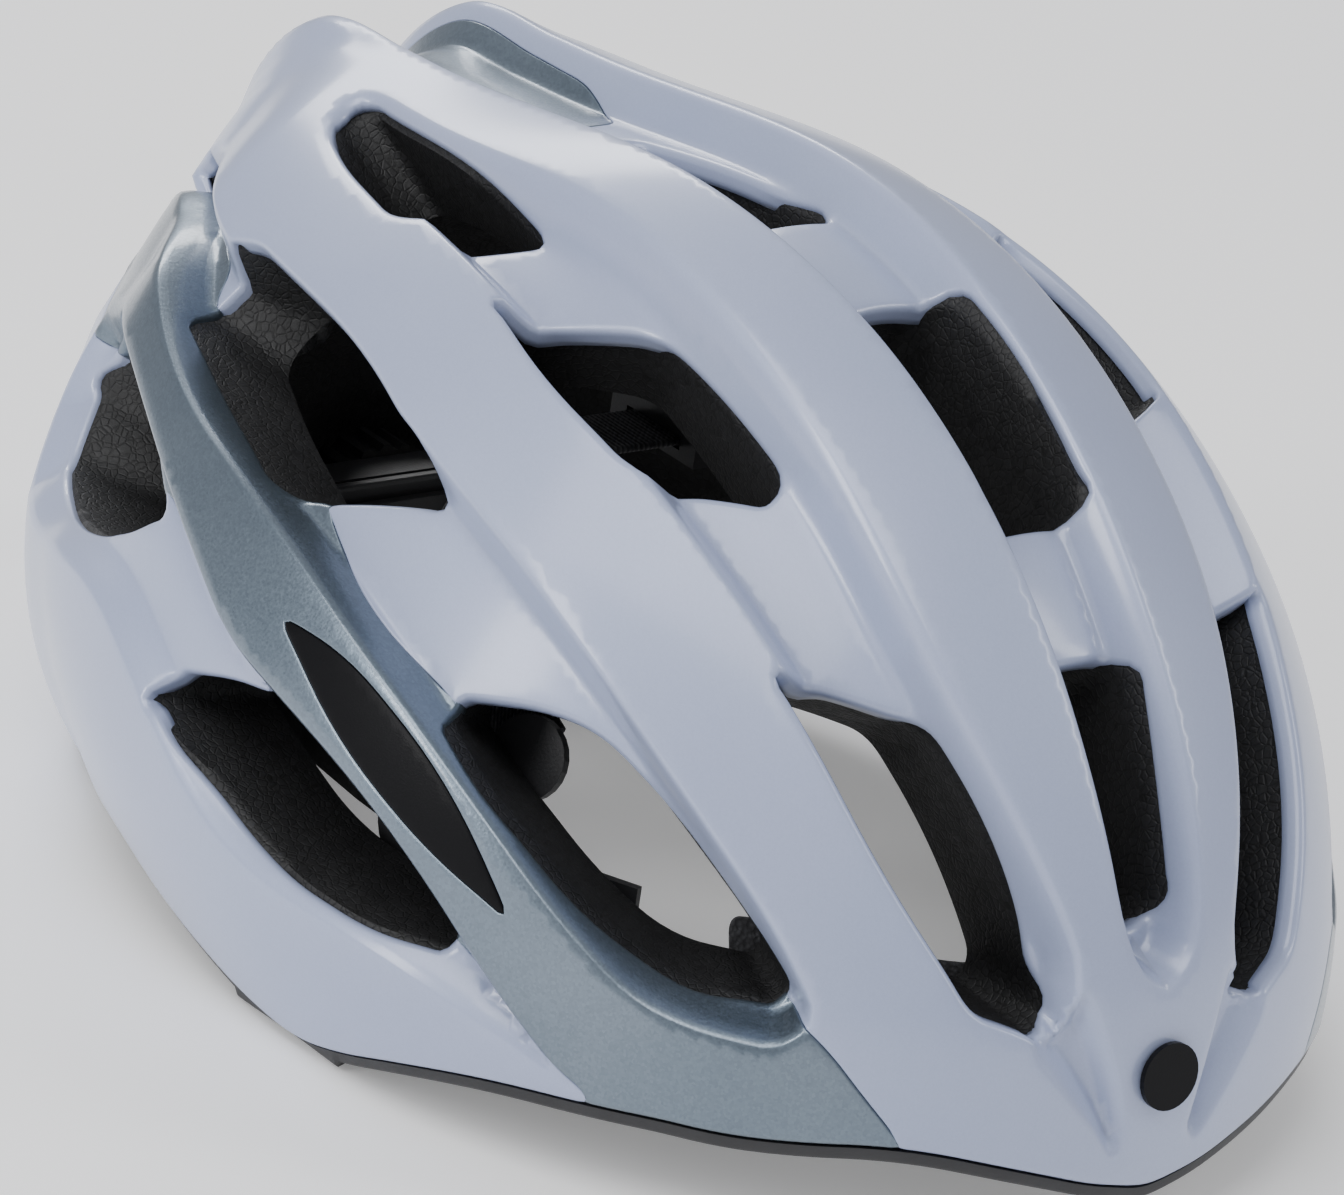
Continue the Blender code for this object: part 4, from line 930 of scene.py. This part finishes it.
def pearl():
    """White pearl lacquer: soft lavender cast, very fine flake, clear coat."""
    s = Shader("pearl_white", (0.40, 0.46, 0.60), 0.4, 0.1, coat_weight=0.75, coat_roughness=0.16)
    drift = s.ramp(s.noise(14, 3), (0.36, 0.415, 0.595), (0.405, 0.46, 0.64), 0.3, 0.7)
    flake = s.ramp(s.cells(3200, output="Color"), (0.93, 0.93, 0.95), (1.0, 1.0, 1.0))
    s.colour(s.mix(1.0, drift, flake, 'MULTIPLY'))
    s.rough(s.span(s.noise(60, 2), 0.38, 0.46))
    s.bump(s.noise(900, 2), 0.04, 0.0002)
    return s.material


def silver():
    """Silver-blue metallic lacquer with visible flake under a clear coat."""
    s = Shader("silver_metallic", (0.2, 0.26, 0.3), 0.36, 0.8, coat_weight=0.6, coat_roughness=0.12)
    drift = s.ramp(s.noise(20, 3), (0.14, 0.185, 0.23), (0.20, 0.25, 0.30), 0.3, 0.7)
    flake = s.ramp(s.cells(1900, output="Color"), (0.80, 0.80, 0.82), (1.0, 1.0, 1.0))
    s.colour(s.mix(1.0, drift, flake, 'MULTIPLY'))
    s.rough(s.span(s.cells(1900), 0.28, 0.46))
    s.bump(s.cells(1500), 0.12, 0.0002)
    return s.material


def satin():
    """Satin black moulded plastic."""
    s = Shader("satin_black", (0.004, 0.004, 0.005), 0.4, specular_ior_level=0.11)
    s.colour(s.ramp(s.noise(40, 3), (0.003, 0.003, 0.004), (0.005, 0.005, 0.006)))
    s.rough(s.span(s.noise(120, 3), 0.30, 0.40))
    s.bump(s.noise(2600, 2), 0.12, 0.0002)
    return s.material


def foam():
    """Black expanded polystyrene: pressed beads with darker joints."""
    s = Shader("bead_foam", (0.02, 0.02, 0.022), 0.62)
    joints = s.cells(1 / (BEAD_SIZE * MM), 'DISTANCE_TO_EDGE')
    base = s.ramp(joints, (0.006, 0.006, 0.006), (0.014, 0.014, 0.015), 0.0, 0.12)
    shade = s.ramp(s.cells(1 / (BEAD_SIZE * MM), output="Color"), (0.55, 0.55, 0.55), (1.0, 1.0, 1.0))
    s.colour(s.mix(1.0, base, shade, 'MULTIPLY'))
    s.rough(s.span(s.noise(300, 3), 0.48, 0.72))
    first = s.bump(s.span(joints, 0, 1, 0, 0.15), 0.35, 0.0003)
    s.bump(s.noise(1500, 3), 0.25, 0.0003, first)
    return s.material


def moulded(name, low, high, rough, grain):
    """Fine-textured moulded plastic."""
    s = Shader(name, high, rough)
    s.colour(s.ramp(s.noise(50, 3), low, high, 0.3, 0.7))
    s.rough(s.span(s.noise(180, 3), rough - 0.06, rough + 0.07))
    s.bump(s.noise(grain, 2), 0.22, 0.0002)
    return s.material


def knit():
    """Dark brushed knit of the pads."""
    s = Shader("pad_knit", (0.035, 0.036, 0.04), 0.92, sheen_weight=0.35, sheen_roughness=0.5)
    loops = s.cells(1100)
    s.colour(s.ramp(loops, (0.05, 0.051, 0.056), (0.018, 0.018, 0.021), 0.1, 0.75))
    first = s.bump(loops, 0.7, 0.0006)
    s.bump(s.noise(2400, 3), 0.3, 0.0003, first)
    return s.material


def webbing():
    """Black woven polyester: ribs across the strap, read from its own length and width."""
    s = Shader("webbing_weave", (0.03, 0.03, 0.034), 0.8, sheen_weight=0.2)
    grid = s.tree.nodes.new("ShaderNodeUVMap")
    ribs = s.tree.nodes.new("ShaderNodeTexWave")
    ribs.inputs["Scale"].default_value = 0.32
    ribs.inputs["Distortion"].default_value = 0.6
    s.link(grid.outputs["UV"], ribs.inputs["Vector"])
    chevron = s.tree.nodes.new("ShaderNodeTexWave")
    chevron.bands_direction = 'DIAGONAL'
    chevron.inputs["Scale"].default_value = 0.5
    s.link(grid.outputs["UV"], chevron.inputs["Vector"])
    weave = s.mix(0.5, ribs.outputs["Color"], chevron.outputs["Color"])
    s.colour(s.ramp(weave, (0.012, 0.012, 0.014), (0.045, 0.045, 0.05)))
    s.bump(weave, 0.8, 0.0004)
    return s.material


def plain_floor():
    """Matt pale paper."""
    s = Shader("floor_paper", (0.93, 0.93, 0.94), 0.9, emission_strength=0.22)
    s.out.inputs["Emission Color"].default_value = (1.0, 1.0, 1.0, 1)
    s.colour(s.ramp(s.noise(6, 2), (0.92, 0.92, 0.93), (0.94, 0.94, 0.95)))
    return s.material


def make_materials():
    """Every finish by its short name."""
    return {
        "pearl": pearl(),
        "silver": silver(),
        "satin": satin(),
        "foam": foam(),
        "trim": moulded("trim_black", (0.012, 0.012, 0.014), (0.02, 0.02, 0.022), 0.5, 1400),
        "knit": knit(),
        "nylon": moulded("nylon_black", (0.018, 0.018, 0.02), (0.028, 0.028, 0.031), 0.42, 1800),
        "webbing": webbing(),
        "rubber": moulded("rubber_black", (0.012, 0.012, 0.012), (0.02, 0.02, 0.02), 0.62, 900),
    }


# -------------------- stage

FLOOR_SIZE = 12000.0  # millimetres
FLOOR_GAP = 0.5
AIM = (0.0, 0.0, 0.0587)  # metres, as are the camera's and lights' places
CAMERA_DISTANCE = 1.3
CAMERA_AZIMUTH = math.radians(-39.95)
CAMERA_ELEVATION = math.radians(22.58)
CAMERA_ROLL = math.radians(8.58)
CAMERA_LENS = 194.6  # for a sensor 36 mm wide
CAMERA_SHIFT = (-0.0123, 0.0021)


def add_camera():
    """Camera at the three-quarter front, from above and slightly rolled."""
    level = math.cos(CAMERA_ELEVATION)
    ahead = Vector((-math.sin(CAMERA_AZIMUTH) * level, math.cos(CAMERA_AZIMUTH) * level,
                    -math.sin(CAMERA_ELEVATION)))
    flat = Vector((math.cos(CAMERA_AZIMUTH), math.sin(CAMERA_AZIMUTH), 0))
    upright = flat.cross(ahead)
    right = flat * math.cos(CAMERA_ROLL) + upright * math.sin(CAMERA_ROLL)
    up = right.cross(ahead)
    data = bpy.data.cameras.new("camera")
    data.lens, data.sensor_width = CAMERA_LENS, 36
    data.shift_x, data.shift_y = CAMERA_SHIFT
    data.clip_start, data.clip_end = 0.05, 20
    camera = bpy.data.objects.new("camera", data)
    turn = Matrix((right, up, -ahead)).transposed().to_4x4()
    camera.matrix_world = Matrix.Translation(Vector(AIM) - ahead * CAMERA_DISTANCE) @ turn
    bpy.context.scene.collection.objects.link(camera)
    bpy.context.scene.camera = camera


def soft_light(name, at, size, power):
    """Rectangular light that faces the helmet."""
    data = bpy.data.lights.new(name, 'AREA')
    data.shape = 'RECTANGLE'
    data.size, data.size_y = size
    data.energy = power
    light = bpy.data.objects.new(name, data)
    light.location = at
    light.rotation_euler = (Vector(AIM) - Vector(at)).to_track_quat('-Z', 'Y').to_euler()
    bpy.context.scene.collection.objects.link(light)


def add_stage():
    """A plain pale floor, a soft world and four soft lights."""
    half = FLOOR_SIZE / 2
    corners = [(-half, -half, 0), (half, -half, 0), (half, half, 0), (-half, half, 0)]
    floor = new_object("floor", corners, [(0, 1, 2, 3)], plain_floor())
    floor.location.z = -FLOOR_GAP * MM
    world = bpy.data.worlds.new("studio")
    world.use_nodes = True
    background = world.node_tree.nodes["Background"]
    background.inputs["Color"].default_value = (0.95, 0.96, 1.0, 1)
    background.inputs["Strength"].default_value = 0.42
    bpy.context.scene.world = world
    soft_light("key", (-0.7, -0.2, 1.5), (1.3, 1.0), 17)
    soft_light("strip_left", (-1.5, 0.2, 0.75), (0.3, 0.9), 11)
    soft_light("strip_right", (1.0, -0.9, 1.0), (0.2, 0.9), 5)
    soft_light("back", (0.5, 1.3, 0.9), (0.9, 0.3), 9)


# -------------------- carried-over nodes

CARRIED = [  # material, rounding of the edges in millimetres, single nodes, nodes with a left and a right
    ("nylon", 0.1, ["pinion"], []),
    ("nylon", 0.15, [], ["rack"]),
    ("nylon", 0.4, [], ["headband_arm", "temple_anchor", "cradle_arm"]),
    ("nylon", 0.5, ["cradle_plate", "dial_housing_front"], ["front_anchor", "rear_anchor"]),
    ("nylon", 0.6, ["buckle_male"], ["strap_divider"]),
    ("nylon", 0.7, ["buckle_female"], []),
    ("nylon", 0.8, ["dial_housing_back"], []),
    ("satin", 0.35, ["front_badge"], []),
    ("rubber", 0.4, ["dial"], []),
    ("rubber", 0.5, ["strap_keeper"], []),
]
NODE_CREASE = math.radians(32)  # edges that stay sharp in the shading
EDGE_TURN = math.radians(40)  # and edges that are rounded


def dress_carried(mats):
    """Give the nodes that show as they are their finish and small edge radii."""
    for key, radius, single, paired in CARRIED:
        for name in single + [f"{name}_{side}" for name in paired for _, side in SIDES]:
            mesh = nodes[name].data
            mesh.materials.clear()
            mesh.materials.append(mats[key])
            mesh.shade_smooth()
            mesh.set_sharp_from_angle(angle=NODE_CREASE)
            edge = nodes[name].modifiers.new("edge_radius", 'BEVEL')
            edge.width, edge.segments = radius * MM, 2
            edge.limit_method, edge.angle_limit = 'ANGLE', EDGE_TURN


# Name, outline, on the centre plane, surface it lies on, channels (axis, place), body, node
PADS = [
    ("brow_cushion", [(0, -91), (30, -85), (56, -69), (51, -60), (27, -75), (0, -81)], True, on_cavity,
     [(0, 13), (0, 31)], "helmet", "brow_pad"),
    ("crown_cushion", [(10.5, -45), (16.5, -45), (17.5, -20), (16, 8), (11, 10), (10.5, -20)], False,
     on_cavity, [(1, -27), (1, -9)], "helmet", "crown_pad"),
    ("side_cushion", [(41, -42), (48, -40), (46.5, -6), (42.5, 6), (40, -14)], False, on_cavity,
     [(1, -24)], "helmet", "side_pad"),
    ("occipital_cushion", [(6.3, 27.3), (23.7, 27.3), (23.7, 44.7), (6.3, 44.7)], False, on_plate,
     [(1, 36)], "cradle", "occipital_pad"),
]

mats = make_materials()
add_stage()
add_camera()
build_shell(mats)
build_foam(mats)
build_rim_trim(mats)
build_pads(mats)
build_webbing(mats)
dress_carried(mats)
